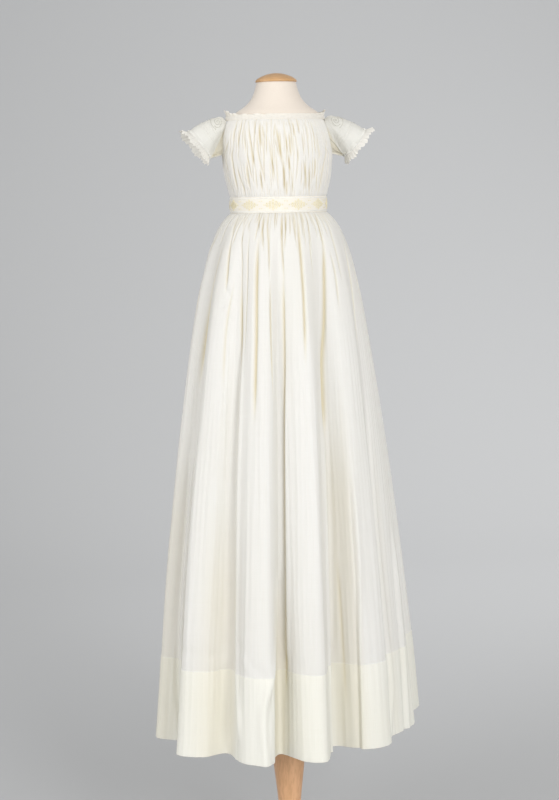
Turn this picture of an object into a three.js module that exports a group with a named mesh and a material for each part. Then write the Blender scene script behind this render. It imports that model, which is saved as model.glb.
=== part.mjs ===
// A long infant's gown of fine white cotton, worn by a limbless child's dress form with a wooden
// neck cap, stem and base. Millimetres, +Z up, the origin on the floor under the stem, the centre
// front of the gown towards -Y and the wearer's left towards +X.
import * as THREE from "three";

// ---- Driving dimensions ----------------------------------------------------------------------
const SEAM_GAP = 0.3; // between pieces that are sewn edge to edge or lie on each other
const EASE = 0.5; // between the form and what grips it
const CLOTH = 1.2; // wall of the gathered muslin
const HEM_CLOTH = 1.0; // wall of the turned-up hem
const BAND_CLOTH = 2.0; // wall of the embroidered waistband
const CASING_CLOTH = 1.6; // wall of the drawstring casing
const FRILL_CLOTH = 1.0; // wall of the narrow frills

const HEM_HEIGHT = 222; // the gown's lower edge above the floor
const SKIRT_LENGTH = 820;
const DEEP_HEM = 130; // height of the turned-up hem
const BAND_BOTTOM = 1042.3; // just above the skirt
const BAND_TOP = 1066;
const BODICE_TOP = 1184;
const CASING_TOP = 1189.4;

const SKIRT_GATHERS = 44; // all round
const BODICE_GATHERS = 56; // all round
const NECK_WAVES = 24; // all round
const CUFF_WAVES = 16; // round each sleeve
const BAND_MOTIFS = 12; // all round
const STEPS_PER_WAVE = 3; // one valley and the two shoulders of a ridge
const STEPS_PER_MOTIF = 6;

// Gathers are uneven: their turns swing by these degrees, so often all round, and their depth is
// this share of the full one, more or less.
const SLOW_SWING = { turn: 1.6, times: 4 };
const FAST_SWING = { turn: 0.6, times: 12 };
const GATHER_DEPTH = { mean: 0.72, swing: 0.28, step: 2.4, start: 0.8 };
const GATHER_SHOULDER = 0.3; // a ridge's height beside its valley's depth

// The form from the flat of its foot to the top of its neck.
const FORM_SECTIONS = [
  { height: 852, halfWidth: 27, halfDepth: 27 },
  { height: 857, halfWidth: 45, halfDepth: 41 },
  { height: 870, halfWidth: 64, halfDepth: 57 },
  { height: 890, halfWidth: 76, halfDepth: 67 },
  { height: 920, halfWidth: 82, halfDepth: 71 },
  { height: 960, halfWidth: 81, halfDepth: 71 },
  { height: 1000, halfWidth: 75, halfDepth: 66 },
  { height: 1036, halfWidth: 71.6, halfDepth: 62.7 },
  { height: 1072, halfWidth: 71.6, halfDepth: 62.7 },
  { height: 1110, halfWidth: 72.5, halfDepth: 61 },
  { height: 1150, halfWidth: 73.5, halfDepth: 57 },
  { height: 1172, halfWidth: 73.2, halfDepth: 52.5 },
  { height: 1184, halfWidth: 71.5, halfDepth: 49 },
  { height: 1190, halfWidth: 68.5, halfDepth: 47 },
  { height: 1196, halfWidth: 62.5, halfDepth: 44.5 },
  { height: 1204, halfWidth: 50.5, halfDepth: 40 },
  { height: 1214, halfWidth: 40.6, halfDepth: 36 },
  { height: 1224, halfWidth: 35.2, halfDepth: 33 },
  { height: 1234, halfWidth: 32, halfDepth: 31 },
  { height: 1241, halfWidth: 30.4, halfDepth: 30 },
];
const FORM_SIDES = 24;
const FORM_WAIST = FORM_SECTIONS.find(({ height }) => height === 1072);
const FORM_SHOULDER = FORM_SECTIONS.find(({ height }) => height === BODICE_TOP);

const CAP_PROFILE = [
  { height: 1241, radius: 30.9 },
  { height: 1242.6, radius: 31.9 },
  { height: 1244.6, radius: 31 },
  { height: 1248, radius: 26.5 },
  { height: 1251.5, radius: 19 },
  { height: 1254.2, radius: 9.5 },
  { height: 1255, radius: 0 },
];
const STEM_PROFILE = [
  { height: 22, radius: 34 },
  { height: 27, radius: 33 },
  { height: 34, radius: 22 },
  { height: 58, radius: 15.5 },
  { height: 98, radius: 18.2 },
  { height: 172, radius: 25.8 },
  { height: 226, radius: 29 },
  { height: 262, radius: 27 },
  { height: 320, radius: 19 },
  { height: 400, radius: 15.5 },
  { height: 800, radius: 15 },
  { height: 846, radius: 17 },
  { height: 852, radius: 24 },
];
const BASE_PROFILE = [
  { height: 0, radius: 138 },
  { height: 3, radius: 141 },
  { height: 12, radius: 141 },
  { height: 19, radius: 134 },
  { height: 22, radius: 122 },
];
const TURNED_SIDES = 24;
const BASE_SIDES = 36;

// The gathered bodice, mean outer surface; pleat is how far a valley lies under it.
const BODICE_SECTIONS = [
  { height: 1066.3, halfWidth: 76.2, halfDepth: 67.3, pleat: 1.8 },
  { height: 1092, halfWidth: 81.4, halfDepth: 71, pleat: 3.4 },
  { height: 1130, halfWidth: 83.6, halfDepth: 70.4, pleat: 3.6 },
  { height: 1140, halfWidth: 83.2, halfDepth: 69, pleat: 3.6 },
  { height: 1160, halfWidth: 81, halfDepth: 64, pleat: 3 },
  { height: BODICE_TOP, halfWidth: 74.7, halfDepth: 52.4, pleat: 1.4 },
];
// Half the armhole's width in degrees round the body; it is open from the underarm to the neck.
const ARMHOLE_SECTIONS = [
  { height: 1130, turn: 0 },
  { height: 1140, turn: 14 },
  { height: 1160, turn: 21 },
  { height: BODICE_TOP, turn: 22 },
];
const ARMHOLE_REACH = 60; // degrees of each panel that make room for it
const PLACKET_FLAT = 5; // degrees beside the centre back that carry no gathers
const SEAM_FLAT = 7; // degrees over which the gathers grow from a seam

// The skirt: how far below the band, the share of the way from waist to hem, the share of the
// large folds' depth, and the depth of the gathers.
const SKIRT_SECTIONS = [
  { drop: 0, spread: 0, fold: 0, pleat: 1.4 },
  { drop: 12, spread: 0.085, fold: 0.2, pleat: 3.2 },
  { drop: 45, spread: 0.215, fold: 0.4, pleat: 4.8 },
  { drop: 100, spread: 0.34, fold: 0.6, pleat: 5.2 },
  { drop: 190, spread: 0.475, fold: 0.75, pleat: 4.2 },
  { drop: 320, spread: 0.62, fold: 0.88, pleat: 2.4 },
  { drop: 500, spread: 0.775, fold: 0.96, pleat: 1 },
  { drop: SKIRT_LENGTH - DEEP_HEM, spread: 0.918, fold: 1, pleat: 0.3 },
  { drop: SKIRT_LENGTH, spread: 1, fold: 1, pleat: 0 },
];
const HEM_MEAN_RADIUS = 204;
const SKIRT_TOP = HEM_HEIGHT + SKIRT_LENGTH;
const WAIST_HALF_WIDTH = 75.6;
const WAIST_HALF_DEPTH = 66.7;

// The hem seen from above, one row for each large fold, from the centre back round by the wearer's
// right side: the valley before the fold, then the two edges of its ridge. Turns are degrees from
// the centre front, radii are from the stem.
const HEM_FOLDS = [
  { valleyTurn: -180, valley: 150, riseTurn: -170, rise: 192, fallTurn: -159, fall: 200 },
  { valleyTurn: -150, valley: 158, riseTurn: -141, rise: 203, fallTurn: -130, fall: 196 },
  { valleyTurn: -121, valley: 160, riseTurn: -113, rise: 200, fallTurn: -104, fall: 206 },
  { valleyTurn: -97, valley: 186, riseTurn: -92, rise: 212, fallTurn: -86, fall: 215 },
  { valleyTurn: -75, valley: 176, riseTurn: -61, rise: 219, fallTurn: -50, fall: 200 },
  { valleyTurn: -45, valley: 167, riseTurn: -29, rise: 200, fallTurn: -18, fall: 199 },
  { valleyTurn: -15, valley: 145, riseTurn: -2, rise: 183, fallTurn: 7, fall: 193 },
  { valleyTurn: 22, valley: 131, riseTurn: 33, rise: 176, fallTurn: 47, fall: 188 },
  { valleyTurn: 57, valley: 174, riseTurn: 68, rise: 186, fallTurn: 83, fall: 202 },
  { valleyTurn: 93, valley: 187, riseTurn: 100, rise: 222, fallTurn: 106, fall: 240 },
  { valleyTurn: 118, valley: 172, riseTurn: 127, rise: 202, fallTurn: 137, fall: 204 },
  { valleyTurn: 147, valley: 156, riseTurn: 156, rise: 196, fallTurn: 166, fall: 194 },
];

// Sleeves, for the wearer's left side; the right one is its mirror image. Each is cut flat: its
// lines fan out from the shoulder over the front and the back, and from the cuff's lowest point up
// the armhole. Puff lifts the top and tuck draws the underside in.
const SLEEVE_STEPS = 24;
const SLEEVE_FAN = 2.2; // 1 would make it a plain cone
const SLEEVE_HEAD = { bottom: 1131.4, middle: 1160, top: 1183.7, inset: 0.5 };
const CUFF = { out: 123, height: 1147, radius: 26.5 };
const CUFF_EDGE = { out: 130, height: 1142.5, radius: 34.5 };
const CUFF_TILT = 38.7; // degrees by which the opening looks down
const SLEEVE_BULGE = 0.4; // how far the front stands out beside how far the top is lifted
const SLEEVE_SECTIONS = [
  { share: 0, puff: 0, tuck: 0 },
  { share: 0.1, puff: 6.5, tuck: 0.6 },
  { share: 0.25, puff: 8.7, tuck: 2 },
  { share: 0.5, puff: 8, tuck: 3 },
  { share: 0.75, puff: 5, tuck: 1.8 },
  { share: 1, puff: 0, tuck: 0 },
];
const TUCK_FROM = 0.42; // where the underside starts, from the top of the sleeve to its bottom

// Frills: lean is outwards from the seam, wave is half the height of a ripple, and rise is how much
// higher the neck's frill stands on the shoulders.
const RIPPLE_SHOULDER = 0.5; // a ripple's height beside its valley's depth
const FRILL_START = 0.8; // above the casing
const FRILL_OUT = 0.4; // beyond the casing
const FRILL_FLARE = 0.3; // how far a raised frill leans out beside its rise
const SHOULDER_POINT = 12; // the higher, the narrower the raised part
const NECK_FRILL_SECTIONS = [
  { height: CASING_TOP + FRILL_START, lean: 0, rise: 0, wave: 0.2 },
  { height: 1191.4, lean: -0.3, rise: 3, wave: 0.7 },
  { height: 1193, lean: -0.8, rise: 6.6, wave: 1.1 },
];
const CUFF_FRILL_SECTIONS = [
  { share: 0, wave: 0.3 },
  { share: 0.5, wave: 1.2 },
  { share: 1, wave: 1.9 },
];
const BUTTON = { radius: 2.8, thickness: 1.8, rim: 0.5, edge: 0.6, dent: 1.4 };
const BUTTON_SIDES = 14;
const PLACKET = { width: 12, lift: 0.4, short: 0.5, button: 1120, buttonLift: 0.5 };

// ---- Materials -------------------------------------------------------------------------------
const cloth = (color) => new THREE.MeshStandardMaterial({ color, roughness: 0.9, metalness: 0 });
const MUSLIN = cloth(0xf6f4ec);
const EMBROIDERY = cloth(0xf3ecd9);
const FORM_COVER = cloth(0xf2e8dc);
const WOOD = new THREE.MeshStandardMaterial({ color: 0xc08e62, roughness: 0.45, metalness: 0 });
const THREAD = cloth(0xf4f0e4);

// ---- Helpers ---------------------------------------------------------------------------------
const radians = THREE.MathUtils.degToRad;
const smooth = (low, high, x) => THREE.MathUtils.smoothstep(x, low, high);

// A point on an oval ring; turn 0 is the centre front.
function onRing(halfWidth, halfDepth, turn, height) {
  const a = radians(turn);
  return new THREE.Vector3(halfWidth * Math.sin(a), -halfDepth * Math.cos(a), height);
}

// A column of a table at a value of its key, linear between rows.
function read(table, key, column, value) {
  const rows = [...table].sort((p, q) => p[key] - q[key]);
  const next = rows.findIndex((row) => row[key] >= value);
  if (next <= 0) return rows[next === 0 ? 0 : rows.length - 1][column];
  const [low, high] = [rows[next - 1], rows[next]];
  const share = (value - low[key]) / (high[key] - low[key]);
  return THREE.MathUtils.lerp(low[column], high[column], share);
}

// A closed solid from its faces; they are turned round if they look inwards.
function solid(points, faces) {
  let volume = 0;
  const cross = new THREE.Vector3();
  for (const [a, b, c] of faces)
    volume += points[a].dot(cross.crossVectors(points[b], points[c]));
  const outward = volume > 0 ? faces : faces.map(([a, b, c]) => [a, c, b]);
  const geometry = new THREE.BufferGeometry().setFromPoints(points);
  geometry.setIndex(outward.flat());
  geometry.computeVertexNormals();
  return geometry;
}

// The unit normals of a grid of points, rows by columns, joined end to end where it wraps.
function gridNormals(grid, wrap) {
  const columns = grid[0].length;
  return grid.map((row, i) =>
    row.map((point, j) => {
      const left = wrap ? (j + columns - 1) % columns : Math.max(j - 1, 0);
      const right = wrap ? (j + 1) % columns : Math.min(j + 1, columns - 1);
      const across = row[right].clone().sub(row[left]);
      const below = grid[Math.max(i - 1, 0)][j];
      const above = grid[Math.min(i + 1, grid.length - 1)][j];
      return across.cross(above.clone().sub(below)).normalize();
    }),
  );
}

// The grid moved along its normals; grids run so that the normals look out of the garment.
function moved(grid, normals, distance) {
  return grid.map((row, i) => row.map((p, j) => p.clone().addScaledVector(normals[i][j], distance)));
}

// A wall of cloth between an outer and an inner grid.
function wall(outer, inner, wrap) {
  const [rows, columns] = [outer.length, outer[0].length];
  const points = [...outer.flat(), ...inner.flat()];
  const faces = [];
  const quad = (a, b, c, d) => faces.push([a, b, c], [a, c, d]);
  const out = (i, j) => i * columns + (j % columns);
  const back = (i, j) => rows * columns + out(i, j);
  const spans = wrap ? columns : columns - 1;
  for (let j = 0; j < spans; j++) {
    for (let i = 0; i < rows - 1; i++) {
      quad(out(i, j), out(i, j + 1), out(i + 1, j + 1), out(i + 1, j));
      faces.push([back(i, j), back(i + 1, j + 1), back(i, j + 1)]);
      faces.push([back(i, j), back(i + 1, j), back(i + 1, j + 1)]);
    }
    quad(out(0, j + 1), out(0, j), back(0, j), back(0, j + 1));
    quad(out(rows - 1, j), out(rows - 1, j + 1), back(rows - 1, j + 1), back(rows - 1, j));
  }
  for (let i = 0; i < rows - 1 && !wrap; i++) {
    quad(out(i, 0), out(i + 1, 0), back(i + 1, 0), back(i, 0));
    const last = columns - 1;
    quad(out(i + 1, last), out(i, last), back(i, last), back(i + 1, last));
  }
  return solid(points, faces);
}

// A wall of the given thickness inside its outer grid.
function clothWall(outer, thickness, wrap) {
  return wall(outer, moved(outer, gridNormals(outer, wrap), -thickness), wrap);
}

// Draws the two side edges of a panel in, to leave the seam open also where the cloth is oblique.
function partSeams(grid, distance = 0.75 * SEAM_GAP) {
  for (const row of grid) {
    const last = row.length - 1;
    for (const [edge, beside] of [[0, 1], [last, last - 1]]) {
      const span = row[edge].distanceTo(row[beside]);
      row[edge].lerp(row[beside].clone(), distance / span);
    }
  }
  return grid;
}

// The wall of a panel, the depth given under its outer grid. That grid has one more column at each
// side than the panel, so that two panels have the same normals at their seam.
function panelWall(grid, thickness, depth = 0, rows = grid.length) {
  const normals = gridNormals(grid, false);
  const [outer, inner] = [depth, depth + thickness].map((distance) => {
    const face = moved(grid, normals, -distance).slice(0, rows);
    return partSeams(face.map((row) => row.slice(1, -1)));
  });
  return wall(outer, inner, false);
}

// A closed solid through rings of equal count, with flat ends.
function ringSolid(rings) {
  const sides = rings[0].length;
  const points = rings.flat();
  const faces = [];
  for (let i = 0; i < rings.length - 1; i++)
    for (let j = 0; j < sides; j++) {
      const [a, b] = [i * sides + j, i * sides + ((j + 1) % sides)];
      faces.push([a, b, b + sides], [a, b + sides, a + sides]);
    }
  for (const ring of [0, rings.length - 1]) {
    const first = ring * sides;
    for (let j = 1; j < sides - 1; j++)
      faces.push(ring ? [first, first + j, first + j + 1] : [first, first + j + 1, first + j]);
  }
  return solid(points, faces);
}

// A turned solid, upright round the stem.
function turned(profile, sides) {
  const outline = profile.map(({ radius, height }) => new THREE.Vector2(radius, height));
  if (profile[0].radius > 0) outline.unshift(new THREE.Vector2(0, profile[0].height));
  const top = profile[profile.length - 1];
  if (top.radius > 0) outline.push(new THREE.Vector2(0, top.height));
  return new THREE.LatheGeometry(outline, sides).rotateX(Math.PI / 2);
}

const gown = new THREE.Group();
function add(name, geometry, material) {
  const mesh = new THREE.Mesh(geometry, material);
  mesh.name = name;
  gown.add(mesh);
  return mesh;
}

// ---- The gathers -----------------------------------------------------------------------------
// Uneven spacing: the share of the way round becomes a turn. It leaves the seams where they are.
function gatherTurn(share) {
  const wave = 2 * Math.PI * share;
  const swing = ({ turn, times }) => turn * Math.sin(times * wave);
  return 360 * share - 180 + swing(SLOW_SWING) + swing(FAST_SWING);
}

// How deep one gather is beside the others.
function gatherDepth(index) {
  const { mean, swing, step, start } = GATHER_DEPTH;
  return mean + swing * Math.sin(step * index + start);
}

// Displacement at a step of a gather: a narrow valley, then the two shoulders of the ridge.
function gatherStep(step, pleat) {
  const index = Math.floor(step / STEPS_PER_WAVE);
  return index * STEPS_PER_WAVE === step ? -pleat * gatherDepth(index) : GATHER_SHOULDER * pleat;
}

// Pushes each point of a grid along its ring's own level normal.
function rippled(grid, depthOf) {
  return grid.map((row, i) => {
    const shifted = row.map((point, j) => {
      const left = row[Math.max(j - 1, 0)];
      const right = row[Math.min(j + 1, row.length - 1)];
      const outwards = new THREE.Vector3(right.y - left.y, left.x - right.x, 0).normalize();
      return point.clone().addScaledVector(outwards, depthOf(i, j));
    });
    return shifted;
  });
}

// ---- Dress form ------------------------------------------------------------------------------
function addForm() {
  const rings = FORM_SECTIONS.map(({ height, halfWidth, halfDepth }) =>
    Array.from({ length: FORM_SIDES }, (_, j) =>
      onRing(halfWidth, halfDepth, (360 * j) / FORM_SIDES, height),
    ),
  );
  add("form_torso", ringSolid(rings), FORM_COVER);
  add("form_neck_cap", turned(CAP_PROFILE, TURNED_SIDES), WOOD);
  add("form_stem", turned(STEM_PROFILE, TURNED_SIDES), WOOD);
  add("form_base", turned(BASE_PROFILE, BASE_SIDES), WOOD);
}

// ---- Skirt and its deep hem ------------------------------------------------------------------
function hemCurve() {
  const points = HEM_FOLDS.flatMap((f) => [
    onRing(f.valley, f.valley, f.valleyTurn, HEM_HEIGHT),
    onRing(f.rise, f.rise, f.riseTurn, HEM_HEIGHT),
    onRing(f.fall, f.fall, f.fallTurn, HEM_HEIGHT),
  ]);
  const curve = new THREE.CatmullRomCurve3(points, true, "centripetal");
  curve.arcLengthDivisions = 1200;
  return curve;
}

// The skirt's outer grid between two steps of the gathers and one more each way, hem row first.
function skirtGrid(curve, firstStep, lastStep) {
  const steps = SKIRT_GATHERS * STEPS_PER_WAVE;
  const sections = [...SKIRT_SECTIONS].reverse();
  const plain = sections.map(({ drop, spread, fold }) => {
    const row = [];
    for (let step = firstStep - 1; step <= lastStep + 1; step++) {
      const turn = gatherTurn(step / steps);
      const waist = onRing(WAIST_HALF_WIDTH, WAIST_HALF_DEPTH, turn, 0);
      const hem = curve.getPointAt((turn / 360 + 1.5) % 1).setZ(0);
      hem.setLength(THREE.MathUtils.lerp(HEM_MEAN_RADIUS, hem.length(), fold));
      row.push(waist.lerp(hem, spread).setZ(SKIRT_TOP - drop));
    }
    return row;
  });
  return rippled(plain, (i, j) => gatherStep(firstStep - 1 + j, sections[i].pleat));
}

function addSkirt() {
  const curve = hemCurve();
  const quarter = (SKIRT_GATHERS * STEPS_PER_WAVE) / 4;
  const panels = { back_right: [0, 1], front: [1, 3], back_left: [3, 4] };
  for (const [name, [from, to]] of Object.entries(panels)) {
    const outer = skirtGrid(curve, from * quarter, to * quarter);
    add("skirt_" + name, panelWall(outer, CLOTH), MUSLIN);
    add("hem_" + name, panelWall(outer, HEM_CLOTH, CLOTH + SEAM_GAP, 2), MUSLIN);
  }
}

// ---- Bodice ----------------------------------------------------------------------------------
const armhole = (height) => read(ARMHOLE_SECTIONS, "height", "turn", height);

// A turn drawn away from the armhole, so that the gathers crowd beside it.
function besideArmhole(turn, height, isBack) {
  const crowding = Math.max(0, 1 - Math.abs(90 - Math.abs(turn)) / ARMHOLE_REACH);
  return turn + Math.sign(turn) * (isBack ? 1 : -1) * armhole(height) * crowding;
}

function bodiceGrid(firstStep, lastStep) {
  const steps = BODICE_GATHERS * STEPS_PER_WAVE;
  const isBack = lastStep - firstStep < steps / 2;
  const turnOf = (step) => gatherTurn(step / steps);
  const plain = BODICE_SECTIONS.map(({ height, halfWidth, halfDepth }) => {
    const row = [];
    for (let step = firstStep - 1; step <= lastStep + 1; step++)
      row.push(onRing(halfWidth, halfDepth, besideArmhole(turnOf(step), height, isBack), height));
    return row;
  });
  const flat = (step) => {
    const turn = Math.abs(turnOf(step));
    const fromSeam = Math.min(Math.abs(turn - 90), Math.abs(180 - turn) - PLACKET_FLAT);
    return smooth(0, SEAM_FLAT, fromSeam);
  };
  return rippled(plain, (i, j) => {
    const step = firstStep - 1 + j;
    return gatherStep(step, BODICE_SECTIONS[i].pleat) * flat(step);
  });
}

function addBodice() {
  const quarter = (BODICE_GATHERS * STEPS_PER_WAVE) / 4;
  const panels = { back_right: [0, 1], front: [1, 3], back_left: [3, 4] };
  for (const [name, [from, to]] of Object.entries(panels))
    add("bodice_" + name, panelWall(bodiceGrid(from * quarter, to * quarter), CLOTH), MUSLIN);
}

// ---- Waistband with its raised lozenges ------------------------------------------------------
const BAND_ROWS = [0, 0.24, 0.5, 0.76, 1]; // shares of its height
const LOZENGE = { halfLength: 13, halfHeight: 7, raise: 0.7 };

function bandGrid(firstStep, lastStep) {
  const steps = BAND_MOTIFS * STEPS_PER_MOTIF;
  const { halfWidth, halfDepth } = FORM_WAIST;
  const pitch = (Math.PI * (halfWidth + halfDepth)) / BAND_MOTIFS;
  const middle = (BAND_BOTTOM + BAND_TOP - SEAM_GAP) / 2;
  return BAND_ROWS.map((share) => {
    const height = THREE.MathUtils.lerp(BAND_BOTTOM, BAND_TOP - SEAM_GAP, share);
    const row = [];
    for (let step = firstStep; step <= lastStep; step++) {
      const along = ((step / STEPS_PER_MOTIF) % 1) - 0.5; // motifs lie between the seams
      const reach =
        Math.abs(along * pitch) / LOZENGE.halfLength + Math.abs(height - middle) / LOZENGE.halfHeight;
      const outwards = EASE + BAND_CLOTH + (reach < 1 ? LOZENGE.raise * (1 - reach * 0.5) : 0);
      const turn = (360 * step) / steps - 180;
      row.push(onRing(halfWidth + outwards, halfDepth + outwards, turn, height));
    }
    return row;
  });
}

// The same grid with its points brought onto a plain inner face.
function plainInside(grid) {
  const { halfWidth, halfDepth } = FORM_WAIST;
  return grid.map((row) =>
    row.map((p) => {
      const turn = Math.atan2(p.x / halfWidth, -p.y / halfDepth);
      return onRing(halfWidth + EASE, halfDepth + EASE, THREE.MathUtils.radToDeg(turn), p.z);
    }),
  );
}

function addWaistband() {
  const quarter = (BAND_MOTIFS * STEPS_PER_MOTIF) / 4;
  const panels = { back_right: [0, 1], front: [1, 3], back_left: [3, 4] };
  for (const [name, [from, to]] of Object.entries(panels)) {
    const outer = partSeams(bandGrid(from * quarter, to * quarter));
    add("waistband_" + name, wall(outer, plainInside(outer), false), EMBROIDERY);
  }
}

// ---- Neckline: drawstring casing and the frill that stands on it -----------------------------
// Both run from the centre back all the way round to it.
function neckRow(height, outwards, steps, waveAt) {
  const { halfWidth, halfDepth } = FORM_SHOULDER;
  return Array.from({ length: steps + 1 }, (_, step) => {
    const turn = (360 * step) / steps - 180;
    const out = EASE + outwards + waveAt(step);
    return onRing(halfWidth + out, halfDepth + out, turn, height);
  });
}

function addNeckline() {
  const casingRows = [BODICE_TOP + SEAM_GAP, CASING_TOP].map((height) =>
    neckRow(height, CASING_CLOTH, 48, () => 0),
  );
  add("neck_casing", clothWall(partSeams(casingRows), CASING_CLOTH, false), MUSLIN);

  const steps = NECK_WAVES * STEPS_PER_WAVE;
  const shoulder = (step) => Math.abs(Math.sin((2 * Math.PI * step) / steps)) ** SHOULDER_POINT;
  const rows = NECK_FRILL_SECTIONS.map(({ height, lean, rise, wave }) => {
    const waveAt = (step) =>
      wave * (step % STEPS_PER_WAVE === 0 ? -1 : RIPPLE_SHOULDER) +
      FRILL_FLARE * rise * shoulder(step);
    const row = neckRow(height, CASING_CLOTH + FRILL_OUT + lean, steps, waveAt);
    row.forEach((point, step) => (point.z += rise * shoulder(step)));
    return row;
  });
  add("neck_frill", clothWall(partSeams(rows), FRILL_CLOTH, false), MUSLIN);
}

// ---- Sleeves ---------------------------------------------------------------------------------
// A point round the sleeve's head, which lies just inside the armhole. Round 0 is the shoulder.
function headPoint(round) {
  const { bottom, middle, top, inset } = SLEEVE_HEAD;
  const [s, c] = [Math.sin(round), Math.cos(round)];
  const height = middle + (c > 0 ? (top - middle) * Math.sqrt(c) : (middle - bottom) * c);
  const halfTurn = Math.max(0, armhole(height - inset) - inset);
  const turn = c > 0 ? halfTurn * Math.sign(s) * Math.sqrt(Math.abs(s)) : halfTurn * Math.sign(s);
  const halfWidth = read(BODICE_SECTIONS, "height", "halfWidth", height);
  const halfDepth = read(BODICE_SECTIONS, "height", "halfDepth", height);
  return onRing(halfWidth, halfDepth, 90 + turn, height);
}

// A point on a level-tilted circle round the sleeve's own axis.
function cuffPoint({ out, height, radius }, round) {
  const tilt = radians(CUFF_TILT);
  const up = new THREE.Vector3(Math.sin(tilt), 0, Math.cos(tilt));
  return new THREE.Vector3(out, 0, height)
    .addScaledVector(up, radius * Math.cos(round))
    .add(new THREE.Vector3(0, radius * Math.sin(round), 0));
}

const mirrored = (grid) =>
  grid.map((row) => [...row].reverse().map((p) => new THREE.Vector3(-p.x, p.y, p.z)));

// The two ends of one line of the sleeve, in radians from its top, and how much it is tucked in.
function sleeveLine(step) {
  const half = SLEEVE_STEPS / 2;
  const side = step > half ? -1 : 1;
  const share = (step > half ? SLEEVE_STEPS - step : step) / half;
  return {
    head: side * Math.PI * share ** SLEEVE_FAN,
    cuff: side * Math.PI * (1 - (1 - share) ** SLEEVE_FAN),
    tucked: side * Math.sin(Math.PI * THREE.MathUtils.inverseLerp(TUCK_FROM, 1, Math.max(share, TUCK_FROM))),
  };
}

function sleeveGrid() {
  return SLEEVE_SECTIONS.map(({ share, puff, tuck }) =>
    Array.from({ length: SLEEVE_STEPS }, (_, step) => {
      const { head, cuff, tucked } = sleeveLine(step);
      const point = headPoint(head).lerp(cuffPoint(CUFF, cuff), share);
      point.z += puff * Math.max(0, Math.cos(cuff));
      point.y += SLEEVE_BULGE * puff * Math.sin(cuff) - tuck * tucked;
      return point;
    }),
  ).reverse();
}

function cuffFrillGrid() {
  const steps = CUFF_WAVES * STEPS_PER_WAVE;
  const tilt = radians(CUFF_TILT);
  const outwards = new THREE.Vector3(Math.cos(tilt), 0, -Math.sin(tilt)); // along the sleeve
  return CUFF_FRILL_SECTIONS.map(({ share, wave }) =>
    Array.from({ length: steps }, (_, step) => {
      const round = (2 * Math.PI * step) / steps;
      const ripple = wave * (step % STEPS_PER_WAVE === 0 ? -1 : RIPPLE_SHOULDER);
      return cuffPoint(CUFF, round)
        .lerp(cuffPoint(CUFF_EDGE, round), share)
        .addScaledVector(outwards, ripple * share + SEAM_GAP);
    }),
  ).reverse();
}

function addSleeves() {
  const sides = { left: (grid) => grid, right: mirrored };
  for (const [name, placed] of Object.entries(sides)) {
    add("sleeve_" + name, clothWall(placed(sleeveGrid()), CLOTH, true), MUSLIN);
    add("cuff_frill_" + name, clothWall(placed(cuffFrillGrid()), FRILL_CLOTH, true), MUSLIN);
  }
}

// ---- Centre back closing ---------------------------------------------------------------------
function addClosing() {
  const columns = [PLACKET.width / 2, 0, -PLACKET.width / 2]; // its width across the back
  const ends = { 0: PLACKET.short, [BODICE_SECTIONS.length - 1]: -PLACKET.short };
  const rows = BODICE_SECTIONS.map(({ height, halfDepth }, i) =>
    columns.map((x) => new THREE.Vector3(x, halfDepth + PLACKET.lift, height + (ends[i] ?? 0))),
  );
  const back = new THREE.Vector3(0, 1, 0);
  const outer = rows.map((row) => row.map((p) => p.clone().addScaledVector(back, CLOTH)));
  add("back_placket", wall(outer, rows, false), MUSLIN);

  const casing = FORM_SHOULDER.halfDepth + EASE + CASING_CLOTH;
  const band = FORM_WAIST.halfDepth + EASE + BAND_CLOTH;
  const bodice = read(BODICE_SECTIONS, "height", "halfDepth", PLACKET.button);
  const places = {
    button_neck: { height: BODICE_TOP + SEAM_GAP + BUTTON.radius, behind: casing },
    button_bodice: {
      height: PLACKET.button,
      behind: bodice + PLACKET.lift + CLOTH + PLACKET.buttonLift,
    },
    button_waist: { height: (BAND_BOTTOM + BAND_TOP) / 2, behind: band },
  };
  const { radius, thickness, rim, edge, dent } = BUTTON;
  const outline = [
    [0, 0],
    [radius - rim, 0],
    [radius, edge],
    [radius - rim, thickness],
    [radius - dent, thickness - rim],
    [0, thickness - rim / 2],
  ].map(([x, y]) => new THREE.Vector2(x, y));
  for (const [name, { height, behind }] of Object.entries(places)) {
    const button = add(name, new THREE.LatheGeometry(outline, BUTTON_SIDES), THREAD);
    button.position.set(0, behind + SEAM_GAP, height);
  }
}

addForm();
addSkirt();
addBodice();
addWaistband();
addNeckline();
addSleeves();
addClosing();

export default gown;
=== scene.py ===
# %% [markdown]
# # An infant's long gown on its dress form
# The gown is made of a few pieces of very fine white cotton: a gathered bodice, an embroidered
# waistband, short sleeves with frills, and a skirt that falls from small gathers into large soft
# folds. The rigid model gives every piece its place. In these cells each cloth piece becomes a thin
# shell on its solid's form, worked out row by row from a few sizes, as a maker would fold it.

# %% Load the rigid model
import math
import bpy
import numpy as np
from mathutils import Matrix, Vector


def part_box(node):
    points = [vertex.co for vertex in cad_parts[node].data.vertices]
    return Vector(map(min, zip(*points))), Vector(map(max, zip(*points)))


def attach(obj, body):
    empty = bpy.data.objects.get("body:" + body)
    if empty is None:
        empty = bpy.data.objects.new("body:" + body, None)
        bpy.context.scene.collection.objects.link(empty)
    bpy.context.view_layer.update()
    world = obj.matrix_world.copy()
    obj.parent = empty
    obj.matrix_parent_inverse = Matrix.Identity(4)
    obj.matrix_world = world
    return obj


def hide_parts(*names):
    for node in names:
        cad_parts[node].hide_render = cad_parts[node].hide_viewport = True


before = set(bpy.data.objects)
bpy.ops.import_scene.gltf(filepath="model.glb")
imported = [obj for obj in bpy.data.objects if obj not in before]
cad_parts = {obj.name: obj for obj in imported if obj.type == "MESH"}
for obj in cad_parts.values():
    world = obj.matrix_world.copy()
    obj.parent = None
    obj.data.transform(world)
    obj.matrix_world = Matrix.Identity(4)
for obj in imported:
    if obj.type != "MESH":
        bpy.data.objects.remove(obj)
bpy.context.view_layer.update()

MM = 0.001
rng = np.random.default_rng(7)

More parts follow.
